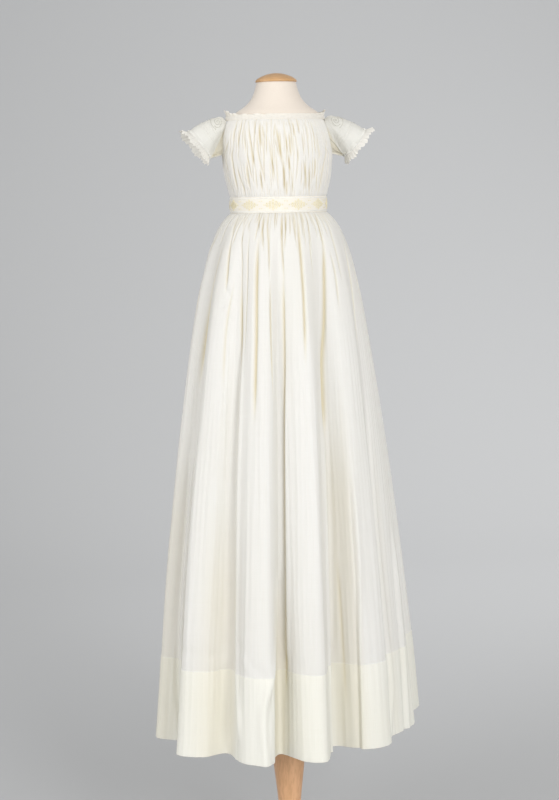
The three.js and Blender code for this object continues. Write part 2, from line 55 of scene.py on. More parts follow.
# %% [markdown]
# ## Camera
# The gown is seen from a little to the wearer's right, from the height of its waist, with a long
# lens, so that the skirt's sides stay straight. The camera leans by one degree. Building its matrix
# from the three directions it looks along is clearer than three rotations in a row.

# %% Camera
CAMERA_TURN = -10.0  # degrees round the gown
CAMERA_PITCH = 6.7  # degrees downwards
CAMERA_LEAN = 1.1
CAMERA_DISTANCE = 2.760
CAMERA_HEIGHT = 1.073
CAMERA_SIDE = 0.0041
LENS = 79.56


def placed(name, data):
    """A new object in the scene, with this data."""
    made = bpy.data.objects.new(name, data)
    bpy.context.scene.collection.objects.link(made)
    return made


def add_camera():
    turn, pitch, lean = (math.radians(a) for a in (CAMERA_TURN, CAMERA_PITCH, CAMERA_LEAN))
    right = Vector((math.cos(turn), math.sin(turn), 0))
    ahead = Vector((-math.sin(turn) * math.cos(pitch), math.cos(turn) * math.cos(pitch), -math.sin(pitch)))
    up = right.cross(ahead)
    leaning_right = right * math.cos(lean) - up * math.sin(lean)
    leaning_up = right * math.sin(lean) + up * math.cos(lean)
    data = bpy.data.cameras.new("camera")
    data.lens = LENS
    camera = placed("camera", data)
    place = Vector((math.sin(turn), -math.cos(turn), 0)) * CAMERA_DISTANCE
    place += Vector((0, 0, CAMERA_HEIGHT)) - right * CAMERA_SIDE
    turned = Matrix((leaning_right, leaning_up, -ahead)).transposed()
    camera.matrix_world = Matrix.Translation(place) @ turned.to_4x4()
    bpy.context.scene.camera = camera


add_camera()
print("camera at", [round(c, 3) for c in bpy.context.scene.camera.matrix_world.translation])

# %% [markdown]
# ## Materials
# White cloth needs three things to look like cloth and not like plaster: light has to pass through
# it, its surface has to be soft at the edges, and its white must not be even. So a translucent
# shader is mixed with the ordinary one, a little sheen is added, and long thin noise along the warp
# gives the uneven threads. The weave is a bump made of two sets of fine waves that cross. Shade is
# painted into the creases, so each shell carries a value, 0 on a ridge and 1 deep in a crease.


# %% A small kit for node materials
def node(tree, kind, inputs=None, **settings):
    made = tree.nodes.new(kind)
    for name, value in settings.items():
        setattr(made, name, value)
    for name, value in (inputs or {}).items():
        if isinstance(value, bpy.types.NodeSocket):
            tree.links.new(value, made.inputs[name])
        else:
            made.inputs[name].default_value = value
    return made


def new_material(name, coordinate):
    """An empty material, its node tree and one of its texture coordinates."""
    material = bpy.data.materials.new(name)
    material.use_nodes = True
    tree = material.node_tree
    tree.nodes.clear()
    return material, tree, node(tree, "ShaderNodeTexCoord").outputs[coordinate]


def noise_on(tree, place, stretch, detail=3.0):
    """Noise whose grains are stretched along the piece's own axes."""
    mapping = node(tree, "ShaderNodeMapping", {"Vector": place, "Scale": stretch})
    inputs = {"Vector": mapping.outputs[0], "Scale": 1.0, "Detail": detail}
    return node(tree, "ShaderNodeTexNoise", inputs).outputs["Fac"]


def two_tones(tree, amount, low, high, low_at=0.3, high_at=0.7):
    ramp = node(tree, "ShaderNodeValToRGB", {"Fac": amount})
    first, last = ramp.color_ramp.elements
    first.position, first.color = low_at, (*low, 1)
    last.position, last.color = high_at, (*high, 1)
    return ramp.outputs["Color"]


def mixed(tree, a, b, share, blend="MULTIPLY"):
    inputs = {"Factor": share, "A": a, "B": b}
    return node(tree, "ShaderNodeMix", inputs, data_type="RGBA", blend_type=blend).outputs["Result"]


def shaded(tree, colour, noise, dark, share, *positions):
    """The colour, multiplied by a darker tone where the noise is low."""
    return mixed(tree, colour, two_tones(tree, noise, dark, (1, 1, 1), *positions), share)


def surface_of(tree, colour, height, strength, distance, more):
    """The ordinary shader and its bump, with the other settings that it is given."""
    bump = node(tree, "ShaderNodeBump", {"Height": height, "Strength": strength, "Distance": distance})
    inputs = {"Base Color": colour, "Normal": bump.outputs[0], **more}
    return node(tree, "ShaderNodeBsdfPrincipled", inputs), bump


def output(tree, shader):
    node(tree, "ShaderNodeOutputMaterial", {"Surface": shader.outputs[0]})


print("material kit ready")

# %% The gown's cottons
THREAD_PITCH = 0.00042  # metres from one thread to the next
WAVE_LENGTH = 0.314  # metres from crest to crest in a wave texture of scale 1
WEAVE_DEPTH = 0.00003
CREASE_PAINTED_SHADE = (0.80, 0.73, 0.54)  # painted shade: the colour that creases are darkened towards
GLOW = (1.0, 0.97, 0.90)  # the colour of light that has gone through the cloth


def cotton(name, white, shade, sheer, streaks=0.5):
    """Fine cotton; sheer is the share of the light that goes through it."""
    material, tree, place = new_material(name, "UV")
    warp = noise_on(tree, place, (900, 14, 1))
    weft = noise_on(tree, place, (20, 700, 1))
    age = noise_on(tree, place, (5, 3.5, 1), 2.0)
    colour = two_tones(tree, age, shade, white, 0.30, 0.56)
    colour = shaded(tree, colour, warp, (0.94, 0.935, 0.91), streaks)
    colour = shaded(tree, colour, weft, (0.96, 0.955, 0.94), 0.6 * streaks)
    # Painted shade: each point's fold value mixes its colour towards the crease colour.
    fold = node(tree, "ShaderNodeAttribute", attribute_name="fold").outputs["Fac"]
    colour = mixed(tree, colour, (*CREASE_PAINTED_SHADE, 1), fold, "MIX")
    wave = {"Vector": place, "Scale": WAVE_LENGTH / THREAD_PITCH, "Distortion": 1.2}
    height = warp
    for direction in ("X", "Y"):
        threads = node(tree, "ShaderNodeTexWave", wave, bands_direction=direction).outputs["Fac"]
        height = node(tree, "ShaderNodeMath", {0: height, 1: threads}, operation="ADD").outputs[0]
    finish = {"Roughness": 0.82, "Sheen Weight": 0.1, "Sheen Roughness": 0.4, "Specular IOR Level": 0.25}
    surface, bump = surface_of(tree, colour, height, 0.5, WEAVE_DEPTH, finish)
    through = {"Color": mixed(tree, colour, (*GLOW, 1), 1.0), "Normal": bump.outputs[0]}
    back = node(tree, "ShaderNodeBsdfTranslucent", through)
    both = {"Fac": sheer, 1: surface.outputs[0], 2: back.outputs[0]}
    output(tree, node(tree, "ShaderNodeMixShader", both))
    return material


muslin = cotton("muslin", (0.93, 0.932, 0.922), (0.915, 0.914, 0.892), 0.30)
# Painted light: the bodice's copy of the muslin is whiter than the skirt's.
bodice_muslin_painted_light = cotton("bodice_muslin_painted_light", (0.965, 0.965, 0.957), (0.957, 0.955, 0.94), 0.30)
# Painted shade: the sleeves' copy of the muslin is greyer than the skirt's.
sleeve_muslin_painted_shade = cotton("sleeve_muslin_painted_shade", (0.872, 0.87, 0.842), (0.852, 0.847, 0.812), 0.30)
hem_muslin = cotton("hem_muslin", (0.92, 0.915, 0.86), (0.905, 0.895, 0.82), 0.18)
frill_muslin = cotton("frill_muslin", (0.94, 0.925, 0.89), (0.91, 0.89, 0.85), 0.34)
band_cotton = cotton("band_cotton", (0.885, 0.85, 0.775), (0.865, 0.825, 0.745), 0.12, 0.4)
print("cottons:", [m.name for m in bpy.data.materials if "muslin" in m.name or "cotton" in m.name])


# %% Thread, jersey and wood
def thread(name, colour, deep):
    """Silky embroidery cotton: each stitch is a fine ridge across the cord."""
    material, tree, place = new_material(name, "Object")
    tone = two_tones(tree, noise_on(tree, place, (400, 400, 400)), deep, colour)
    twist = noise_on(tree, place, (2500, 2500, 900), 2.0)
    finish = {"Roughness": 0.55, "Sheen Weight": 0.2}
    output(tree, surface_of(tree, tone, twist, 0.5, 0.0002, finish)[0])
    return material


def jersey(name, colour, shade):
    """The form's smooth knitted cover, stretched so that only a fine grain shows."""
    material, tree, place = new_material(name, "Object")
    tone = two_tones(tree, noise_on(tree, place, (9, 9, 6)), shade, colour)
    wales = noise_on(tree, place, (1500, 1500, 420), 1.0)
    tone = shaded(tree, tone, wales, (0.93, 0.92, 0.9), 0.5)
    finish = {"Roughness": 0.9, "Sheen Weight": 0.25}
    output(tree, surface_of(tree, tone, wales, 0.35, 0.00025, finish)[0])
    return material


def beech(name, light, dark, grain):
    """Turned and varnished wood; grain stretches the figure along one axis."""
    material, tree, place = new_material(name, "Object")
    tone = two_tones(tree, noise_on(tree, place, grain, 5.0), dark, light, 0.35, 0.65)
    fleck = noise_on(tree, place, tuple(6 * g for g in grain), 2.0)
    tone = shaded(tree, tone, fleck, (0.82, 0.78, 0.74), 0.6, 0.38, 0.55)
    finish = {"Roughness": 0.42, "Coat Weight": 0.2, "Coat Roughness": 0.3}
    output(tree, surface_of(tree, tone, fleck, 0.2, 0.0002, finish)[0])
    return material


cream_thread = thread("cream_thread", (0.87, 0.81, 0.60), (0.78, 0.70, 0.46))
# Painted shade: the whitework scrolls' thread is grey, for the shadow of their raised cords.
outline_thread_painted_shade = thread("outline_thread_painted_shade", (0.66, 0.65, 0.58), (0.58, 0.57, 0.50))
white_thread = thread("white_thread", (0.91, 0.90, 0.86), (0.82, 0.81, 0.76))
form_jersey = jersey("form_jersey", (0.76, 0.69, 0.61), (0.73, 0.65, 0.57))
cap_wood = beech("cap_wood", (0.66, 0.40, 0.20), (0.55, 0.32, 0.14), (14, 90, 90))
# Painted light: the stem's beech is lighter than the cap's and the base's, against the gown's shadow on it.
stem_wood_painted_light = beech("stem_wood_painted_light", (0.76, 0.46, 0.26), (0.66, 0.39, 0.21), (60, 60, 9))
base_wood = beech("base_wood", (0.62, 0.37, 0.20), (0.50, 0.28, 0.14), (9, 70, 70))
print("thread, jersey and wood ready")

# %% [markdown]
# ## How a cloth shell is made
# Each panel is a grid of points: rows run up the piece and columns run round it. Small helpers do
# the rest. One reads a column of a table as a smooth curve, so that a few sizes give a form without
# kinks. Another turns the grid into a mesh with a flat cutting plan as its UV map, in metres, so
# that the weave keeps its real size on every fold.


# %% Smooth curves and soft steps
def table(columns, rows):
    """A table of numbers as its columns, each under its name."""
    return dict(zip(columns.split(), np.array(rows, float).T))


def curve(x, y, at):
    """A smooth curve through the points (x, y), read at the given places."""
    order = np.argsort(x)
    x, y = x[order], y[order]
    slope = np.gradient(y, x)
    steps = np.diff(y) / np.diff(x)
    slope[1:-1][steps[:-1] * steps[1:] <= 0] = 0.0
    at = np.clip(at, x[0], x[-1])
    i = np.clip(np.searchsorted(x, at, side="right") - 1, 0, len(x) - 2)
    h = x[i + 1] - x[i]
    t = (at - x[i]) / h
    return (
        (2 * t**3 - 3 * t**2 + 1) * y[i] + (t**3 - 2 * t**2 + t) * h * slope[i]
        + (-2 * t**3 + 3 * t**2) * y[i + 1] + (t**3 - t**2) * h * slope[i + 1]
    )


def smooth_read(sections, column, at):
    """A column of a table, as a smooth curve over the table's first column."""
    return curve(next(iter(sections.values())), sections[column], at)


def ease(low, high, x):
    """0 below low, 1 above high, and a smooth step between them."""
    t = np.clip((np.asarray(x, float) - low) / (high - low), 0, 1)
    return t * t * (3 - 2 * t)


def window(rise, fall, x):
    """A soft step up over the first pair of places and down again over the second."""
    return ease(*rise, x) * (1 - ease(*fall, x))


def unit(vectors):
    return vectors / np.linalg.norm(vectors, axis=-1, keepdims=True)


def run_of(points):
    """The length along a line of points, up to each one."""
    return np.concatenate([[0], np.cumsum(np.linalg.norm(np.diff(points, axis=0), axis=1))])


def on_line(points, run, at):
    return np.stack([np.interp(at, run, points[:, k]) for k in range(points.shape[1])], -1)


print("curve helpers ready")


# %% Rings, grids and meshes
def ring(half_width, half_depth, turn, height):
    """Points round an oval; turn 0 is the centre front and 90 the wearer's left."""
    angle = np.radians(turn)
    x, y = half_width * np.sin(angle), -half_depth * np.cos(angle)
    return np.stack(np.broadcast_arrays(x, y, height), -1)


def oval(sections, turn, height):
    """Points round ovals whose half width and half depth a table gives for each height."""
    half_width = smooth_read(sections, "half_width", height)
    return ring(half_width, smooth_read(sections, "half_depth", height), turn, height)


def grid_normals(grid, wrap=False):
    """Unit normals of a grid; a wrapped grid repeats its first column at its end."""
    if wrap:
        padded = np.concatenate([grid[:, -2:-1], grid, grid[:, 1:2]], 1)
        across = (padded[:, 2:] - padded[:, :-2]) / 2
    else:
        across = np.gradient(grid, axis=1)
    return unit(np.cross(across, np.gradient(grid, axis=0)))


def grid_faces(rows, columns, wrap=False):
    """Faces of a grid, seen from the side that the turn and the height run right and up on."""
    i, j = np.meshgrid(np.arange(rows - 1), np.arange(columns - (0 if wrap else 1)), indexing="ij")
    beside = (j + 1) % columns
    corners = [i * columns + j, i * columns + beside, (i + 1) * columns + beside, (i + 1) * columns + j]
    return np.stack(corners, -1).reshape(-1, 4)


def tube_faces(rings, sides, start=0, closed=False):
    """Faces of a tube: a closed one runs on into its first ring, another has flat ends."""
    faces = (grid_faces(rings + int(closed), sides, wrap=True) % (rings * sides) + start).tolist()
    if not closed:
        first = list(range(start, start + sides))
        faces += [first[::-1], [(rings - 1) * sides + k for k in first]]
    return faces


def mesh_object(name, points, faces):
    mesh = bpy.data.meshes.new(name)
    mesh.from_pydata(np.asarray(points).reshape(-1, 3).tolist(), [], faces)
    mesh.update()
    mesh.polygons.foreach_set("use_smooth", [True] * len(mesh.polygons))
    return placed(name, mesh)


def finish_piece(piece, material, replaced=()):
    piece.data.materials.append(material)
    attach(piece, "root")
    if replaced:
        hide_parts(*replaced)
    return piece


def cloth_shell(solid, grid, plan, material, fold=0.0):
    """A thin shell of cloth in place of a solid; its grid is in millimetres.

    plan is the flat piece: its width and its height, or the places of its columns and its rows.
    fold is how much painted shade each point gets, mostly from how deep it lies in a crease."""
    rows, columns = grid.shape[:2]
    across, up = (np.linspace(0, size, count) if np.isscalar(size) else size
                  for size, count in zip(plan, (columns, rows)))
    cut = np.stack(np.meshgrid(across, up), -1) * MM
    faces = grid_faces(rows, columns)
    piece = mesh_object(solid + "_cloth", grid * MM, faces.tolist())
    layer = piece.data.uv_layers.new(name="cut")
    layer.data.foreach_set("uv", cut.reshape(-1, 2)[faces.reshape(-1)].reshape(-1))
    # The fold value sets how much painted shade each point gets in the cottons.
    depth = piece.data.attributes.new("fold", "FLOAT", "POINT")
    depth.data.foreach_set("value", np.broadcast_to(fold, (rows, columns)).astype(np.float32).ravel())
    return finish_piece(piece, material, [solid])


print("cloth helpers ready")

# %% [markdown]
# ## Folds
# A gathered edge is not a row of equal waves. Each valley starts at its own height, runs its own
# length, wanders a little and dies out, and two neighbours often become one. So every crease is its
# own soft trough, listed where it gives the piece its look: a path, a depth and a width.
# The many short ones at the seams and those on the hidden sides come from a seeded random source.


# %% Creases
def beside_path(turn, at, per_degree, path):
    """Where a path starts and ends, and how many millimetres each place lies beside it.

    The path's points are (at, turn): how far along the cloth and how far round. per_degree is the
    number of millimetres in one degree there."""
    places, turns = np.array(path, float).T
    beside = (turn - curve(places, turns, at) + 180) % 360 - 180
    return places.min(), places.max(), beside * per_degree


def crease_sink(turn, at, per_degree, creases):
    """How far the cloth sinks, in millimetres. Each crease is its depth, its half width and then its path."""
    sink = np.zeros(np.broadcast(turn, at).shape)
    for depth, width, *path in creases:
        first, last, beside = beside_path(turn, at, per_degree, path)
        soft = min(0.28 * (last - first), 45)
        along = window((first - 0.5 * soft, first + soft), (last - soft, last + 0.5 * soft), at)
        sink = sink + depth * along * np.exp(-(np.abs(beside / width) ** 1.6))
    return sink


def edge_step(turn, at, per_degree, edges):
    """Where a fold ends abruptly, one side of a line stands out and the other side lies back."""
    step = np.zeros(np.broadcast(turn, at).shape)
    for height, width, *path in edges:
        first, last, beside = beside_path(turn, at, per_degree, path)
        beside = beside / width
        along = window((first - 40, first + 80), (last, last + 40), at)
        step = step + height * along * 1.65 * beside * np.exp(-0.5 * beside**2)
    return step


def random_creases(count, turns, starts, lengths, depths, widths, slant=0.02):
    """Creases for a gathered edge or for a hidden side, each with its own size."""
    made = []
    pitch = (turns[1] - turns[0]) / count
    for k in range(count):
        turn = turns[0] + (k + 0.5 + rng.uniform(-0.4, 0.4)) * pitch
        start, length = rng.uniform(*starts), lengths[0] + (lengths[1] - lengths[0]) * rng.random() ** 2
        end = turn + rng.normal(0, slant) * length
        made.append((rng.uniform(*depths), rng.uniform(*widths), (start, turn), (start + length, end)))
    return made


def dents(turn, at, per_degree, places):
    """Shallow dents and bumps, each (at, turn, length, width, slant, depth)."""
    sink = np.zeros(np.broadcast(turn, at).shape)
    for middle, centre, length, width, slant, depth in places:
        across, down = (turn - centre) * per_degree, at - middle
        long = across * math.cos(slant) + down * math.sin(slant)
        wide = down * math.cos(slant) - across * math.sin(slant)
        sink = sink + depth * np.exp(-((long / length) ** 2) - (wide / width) ** 2)
    return sink


print("crease makers ready")

# %% [markdown]
# ## Skirt
# The skirt is two widths of muslin joined at the sides and gathered into the waistband. Seen from
# below, its hem is a closed curve with a dozen large folds. Between the oval waist and that curve
# each thread runs almost straight, so the whole skirt follows from the two curves and one table
# that says how fast the skirt spreads and how fast the large folds grow.

# %% The hem's curve and the waist's
HEM_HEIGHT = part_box("hem_front")[0][2] / MM + 0.1
SKIRT_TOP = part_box("skirt_front")[1][2] / MM
SKIRT_LENGTH = SKIRT_TOP - HEM_HEIGHT
DEEP_HEM = 130.0
HEM_LINE = SKIRT_LENGTH - DEEP_HEM
WAIST = (75.6, 66.7)  # half width and half depth
WAIST_ROUND = 447.0
HEM_MEAN_RADIUS = 204.0
SKIRT_SECTIONS = table("drop spread fold", [
    (0, 0, 0), (12, 0.085, 0.2), (45, 0.215, 0.4), (100, 0.34, 0.6), (190, 0.475, 0.75),
    (320, 0.62, 0.88), (500, 0.775, 0.96), (690, 0.918, 1), (820, 1, 1),
])
HEM_FOLDS = [  # each large fold's valley and then both edges of its ridge, as degrees and radius
    (-180, 150), (-170, 192), (-159, 200),
    (-150, 158), (-141, 203), (-130, 196),
    (-121, 160), (-113, 200), (-104, 206),
    (-97, 186), (-92, 212), (-86, 215),
    (-75, 176), (-61, 219), (-50, 200),
    (-45, 167), (-29, 200), (-18, 199),
    (-15, 145), (-2, 183), (7, 193),
    (22, 131), (33, 176), (47, 188),
    (57, 174), (68, 186), (83, 202),
    (93, 187), (100, 222), (106, 240),
    (118, 172), (127, 202), (137, 204),
    (147, 156), (156, 196), (166, 194),
]
CORNER_SAMPLES = 240


def between(low, high, s, before, after):
    """A straight mix of two points, or of two curves, for s from low to high."""
    return (high - s) / (high - low) * before + (s - low) / (high - low) * after


def hem_curve():
    """The hem as a smooth closed curve (centripetal Catmull-Rom), with its length so far."""
    corners = [ring(radius, radius, turn, 0)[:2] for turn, radius in HEM_FOLDS]
    count = len(corners)
    points = []
    for k in range(count):
        p = [corners[(k + i) % count] for i in (-1, 0, 1, 2)]
        t = np.cumsum([0] + [np.linalg.norm(p[i + 1] - p[i]) ** 0.5 for i in range(3)])
        s = np.linspace(t[1], t[2], CORNER_SAMPLES, endpoint=False)[:, None]
        a = [between(t[i], t[i + 1], s, p[i], p[i + 1]) for i in range(3)]
        b = [between(t[i], t[i + 2], s, a[i], a[i + 1]) for i in range(2)]
        points.append(between(t[1], t[2], s, *b))
    points = np.concatenate(points + [points[0][:1]])
    return points, run_of(points)


HEM_POINTS, HEM_RUN = hem_curve()
print(f"hem round: {HEM_RUN[-1]:.0f} mm, waist round: {math.pi * sum(WAIST):.0f} mm")

# %% [markdown]
# The creases that run from the waist into the skirt are listed one by one: a depth, a half width and a
# path, each point of it as millimetres below the band and degrees round. Some sit over the large
# folds, some between them, and they fade at different heights.

# %% The skirt's creases
SKIRT_CREASES = [
    (4.5, 2.6, (30, -81), (74, -87), (150, -84)),
    (4.5, 3.6, (60, -62), (108, -68), (162, -71.5), (250, -73.5)), (3.6, 1.3, (4, -58.5), (34, -53)),
    (4.2, 1.7, (40, -53.2), (72, -51), (112, -49.3)), (2.4, 2.4, (112, -44), (136, -45.5), (250, -46.2)),
    (2.6, 1.0, (16, -44.4), (70, -38.5), (116, -37)),
    (5.2, 2.3, (112, -37), (196, -35.2), (398, -34.5), (640, -34.6)),
    (2.6, 1.2, (36, -35.2), (114, -32), (200, -31.5)), (3.4, 0.9, (0, -31.5), (26, -26.5)),
    (5.6, 2.3, (46, -26), (92, -25.2), (194, -24), (296, -24.2)), (4.2, 1.1, (0, -25.6), (52, -21.8)),
    (3.8, 1.1, (0, -21), (54, -17.8), (92, -17)), (4.8, 2.0, (112, -16.2), (202, -15.2), (262, -14)),
    (2.6, 0.9, (0, -12.8), (24, -11.2)), (3.8, 1.3, (4, -4.8), (40, -3.8), (96, -2)),
    (4.4, 2.4, (104, -2.4), (196, -2.2), (294, -2.8), (612, -3.5), (720, -3.6)),
    (2.6, 0.9, (0, -1.5), (28, -0.2)), (3.0, 1.0, (0, 4.2), (34, 3.5)), (2.6, 0.9, (0, 8.8), (24, 9)),
    (5.0, 1.9, (8, 11.8), (40, 10.8), (108, 11), (210, 10.5)), (2.8, 1.0, (2, 16.5), (36, 14.5)),
    (2.6, 1.2, (2, 23.8), (56, 21.2), (92, 21.8)), (4.2, 1.3, (2, 37.2), (24, 34.5), (48, 35)),
    (5.2, 3.2, (46, 35.4), (88, 33.2), (162, 30.8), (238, 28.6), (330, 29)),
    (2.2, 1.5, (6, 48.8), (46, 46.8), (100, 47.5)), (2.4, 1.7, (62, 41.2), (96, 42.5), (140, 42)),
    (2.6, 2.2, (50, 63.5), (112, 61.2), (200, 57)), (2.2, 1.8, (66, 74.2), (130, 71.8)),
    (2.2, 0.9, (10, -41.2), (28, -35.5)), (2.4, 0.9, (0, -50), (20, -44)),
    (2.0, 3.0, (540, 32.2), (622, 33), (746, 33.8)),
]
FOLD_EDGES = [  # how far a fold stands out on the wearer's left of its line, its width and the line
    (5.0, 4.5, (360, -75.5), (518, -76.2), (756, -74.5), (830, -72)),
    (4.0, 5.0, (200, -34.5), (580, -34.8), (700, -33.2), (760, -31)),
    (2.4, 5.0, (250, -2.6), (582, -3.2), (650, -3.6)),
    (-3.0, 6.0, (520, -5.8), (654, -11.2), (722, -17.8), (830, -18)),
    (-4.0, 4.0, (330, 29.3), (530, 29.2), (684, 28), (744, 26.2), (830, 24)),
    (2.6, 4.0, (400, 41.2), (528, 41.2), (650, 39.8), (830, 38.5)),
    (1.5, 5.0, (290, 61), (510, 60.2), (732, 60.8), (830, 56)),
    (2.5, 4.5, (500, 71.8), (646, 71.2), (830, 69)),
]
FOLD_CORNERS = 3 * CORNER_SAMPLES
VALLEY_TURNS = [360 * HEM_RUN[k] / HEM_RUN[-1] - 180 for k in range(0, len(HEM_RUN) - 1, FOLD_CORNERS)]
for valley in (t for t in VALLEY_TURNS if abs(t) > 100):
    edge = (rng.uniform(200, 420), valley + 3), (830, valley + rng.uniform(0, 5))
    FOLD_EDGES.append((4.5, 5.0, *edge))
    crease = (rng.uniform(30, 120), valley + 1), (rng.uniform(380, 640), valley + 3)
    SKIRT_CREASES.append((5.0, 2.4, *crease))
for turns in ((90, 178), (-178, -90)):
    SKIRT_CREASES += random_creases(7, turns, (30, 90), (80, 260), (3.0, 5.0), (1.2, 2.4))
    SKIRT_CREASES += random_creases(15, turns, (0, 10), (22, 90), (2.4, 4.0), (0.9, 1.4))
SKIRT_CREASES += random_creases(100, (-180, 180), (-8, 2), (14, 64), (1.4, 3.2), (0.6, 1.1), 0.03)
SKIRT_DENTS = [  # first the small ones above the deep hem, then long ones all over
    (690 - rng.uniform(8, 85), rng.uniform(-180, 180), rng.uniform(8, 20), rng.uniform(2.5, 5.5),
     rng.uniform(-0.8, 0.8), rng.uniform(-1.0, 1.1)) for _ in range(90)
]
SKIRT_DENTS += [
    (rng.uniform(200, 800), rng.uniform(-180, 180), rng.uniform(20, 55), rng.uniform(2.0, 4.0),
     rng.uniform(-0.15, 0.15), rng.uniform(-0.6, 0.6)) for _ in range(90)
]
SKIRT_DENTS += [  # crumples where the cloth was once pressed: below the waist, and above the hem
    (120, -47, 9, 3, 0.9, 2.1), (138, -50, 11, 3.5, -0.6, 2.0), (150, -45, 8, 3, 0.5, -1.8),
    (664, -45, 14, 5, 0.5, 2.7), (676, -40, 12, 4, -0.7, -2.2), (655, -31, 10, 4, -0.9, 2.7),
    (668, -27, 13, 4, 0.8, -2.4), (680, -22, 12, 5, 0.6, 2.1), (660, -55, 16, 5, 0.2, 1.8),
]
print("creases:", len(SKIRT_CREASES), "fold edges:", len(FOLD_EDGES), "dents:", len(SKIRT_DENTS))

# %% [markdown]
# Hanging cloth also swells a little. The swells are sums of slow waves round the skirt, and finer
# waves make the ripples along its threads. Some parts lie back between two folds as a whole, and shade is
# painted on them.


# %% Swells and recesses
def random_waves(count, numbers, slowness):
    """Each wave is its number round the skirt, how it leans and where it starts."""
    return [
        (rng.integers(*numbers), rng.uniform(-1, 1) / slowness, rng.uniform(0, 6.3)) for _ in range(count)
    ]


def sum_of(waves, turn, drop):
    return sum(np.sin(np.radians(turn) * n + drop * k + p) for n, k, p in waves) / len(waves) ** 0.5


SWELLS = random_waves(10, (9, 30), 60)
RIPPLES = random_waves(9, (80, 190), 45)
RECESSES = [  # depth, painted shade, and the strip: its two sides, where it starts and how soft it is
    (3.5, 0.30, (29.5, 40.5, 380, 3.0)),
    (2.0, 0.22, (-92.0, -77.0, 420, 4.0)),
    (3.0, 0.30, (-50.0, -35.5, 520, 6.0)),
    (2.6, 0.40, (-13.0, -3.5, 620, 3.5)),
    (1.2, 0.12, (60.5, 64.5, 420, 3.0)),
]


def strip(turn, drop, turn_from, turn_to, drop_from, soft):
    """1 inside a strip that starts softly at drop_from, 0 outside it."""
    inside = window((turn_from - soft, turn_from + soft), (turn_to - soft, turn_to + soft), turn)
    return inside * ease(drop_from - 120, drop_from + 80, drop)


print("swells:", len(SWELLS), "ripples:", len(RIPPLES), "recesses:", len(RECESSES))

# %% The skirt's own surface
CREASE_SHARE = 0.74  # how much of their listed depths the creases get
MOST_SINK = 9  # no crease is deeper than this
FULL_PAINTED_SHADE_DEPTH = 3.9  # a crease as deep as this gets the full painted shade
DOUBLED = 0.7  # the deep hem's two layers stand out by this much


def skirt_surface(turn, drop):
    """The skirt's plain face at these turns and drops below the waistband, in millimetres."""
    turn, drop = np.broadcast_arrays(turn, drop)
    hem = on_line(HEM_POINTS, HEM_RUN, ((turn / 360 + 1.5) % 1) * HEM_RUN[-1])
    reach = np.linalg.norm(hem, axis=-1)
    fold = smooth_read(SKIRT_SECTIONS, "fold", drop)
    hem = hem * ((HEM_MEAN_RADIUS + (reach - HEM_MEAN_RADIUS) * fold) / reach)[..., None]
    waist = ring(*WAIST, turn, 0.0)[..., :2]
    flat = waist + (hem - waist) * smooth_read(SKIRT_SECTIONS, "spread", drop)[..., None]
    return np.concatenate([flat, (SKIRT_TOP - drop)[..., None]], -1)


def skirt_grid(turn_from, turn_to, columns, drops):
    """The panel's points, and how much painted shade each gets from its creases and recesses."""
    turn = np.linspace(turn_from, turn_to, columns)[None, :]
    drop = np.asarray(drops, float)[:, None]
    grid = skirt_surface(turn, drop)
    level = unit(grid_normals(grid) * (1, 1, 0))
    spread = smooth_read(SKIRT_SECTIONS, "spread", drop)
    per_degree = (WAIST_ROUND + (HEM_RUN[-1] - WAIST_ROUND) * spread) / 360
    sink = CREASE_SHARE * crease_sink(turn, drop, per_degree, SKIRT_CREASES)
    sink = np.minimum(sink, np.minimum(MOST_SINK, 3.2 + drop / 4))
    gather = 1.3 * window((-2, 40), (150, 420), drop)
    moved = gather + DOUBLED * ease(HEM_LINE - 1, HEM_LINE + 1, drop) - ease(2.5, 0, drop) - sink
    moved = moved + edge_step(turn, drop, per_degree, FOLD_EDGES)
    moved = moved - dents(turn, drop, per_degree, SKIRT_DENTS)
    swell = 0.9 * sum_of(SWELLS, turn, drop) + 0.24 * sum_of(RIPPLES, turn, drop)
    moved = moved + swell * ease(60, 300, drop)
    # Painted shade: the deeper a crease, the more of the crease colour it gets.
    tone = sink / FULL_PAINTED_SHADE_DEPTH
    # Each recess lies back and also gets painted shade.
    for depth, shade, edges in RECESSES:
        inside = strip(turn, drop, *edges)
        moved, tone = moved - depth * inside, tone + shade * inside
    return grid + level * moved[..., None], np.clip(tone, 0, 1)


# %% Skirt panels
DROPS = np.concatenate([  # the rows lie closest at the line of stitches and at the gathers
    np.linspace(SKIRT_LENGTH, HEM_LINE + 2, 24), np.linspace(HEM_LINE + 1.2, HEM_LINE - 1.2, 7),
    np.linspace(HEM_LINE - 3, 260, 56), np.linspace(255, 0, 62),
])
HEM_ROW = int(np.argmin(np.abs(DROPS - HEM_LINE)))
PANELS = {"front": (-90, 90), "back_left": (90, 180), "back_right": (-180, -90)}
SKIRT_COLUMNS, BODICE_COLUMNS, BAND_COLUMNS = 520, 560, 260  # round the front of each


def panel_columns(low, high, front_columns):
    """A back half has half as many columns as the front."""
    return int(front_columns * (high - low) / 180) + 1


def make_skirt():
    made = {}
    for name, (low, high) in PANELS.items():
        grid, depth = skirt_grid(low, high, panel_columns(low, high, SKIRT_COLUMNS), DROPS)
        width = HEM_RUN[-1] * (high - low) / 360
        piece = cloth_shell("skirt_" + name, grid, (width, SKIRT_LENGTH - DROPS), muslin, fold=depth)
        piece.data.materials.append(hem_muslin)
        below = np.arange(len(piece.data.polygons)) < HEM_ROW * (grid.shape[1] - 1)
        piece.data.polygons.foreach_set("material_index", below.astype(int))
        made[name] = (piece, grid, width)
    return made


skirt = make_skirt()
print("skirt faces:", {name: len(piece.data.polygons) for name, (piece, _, _) in skirt.items()})

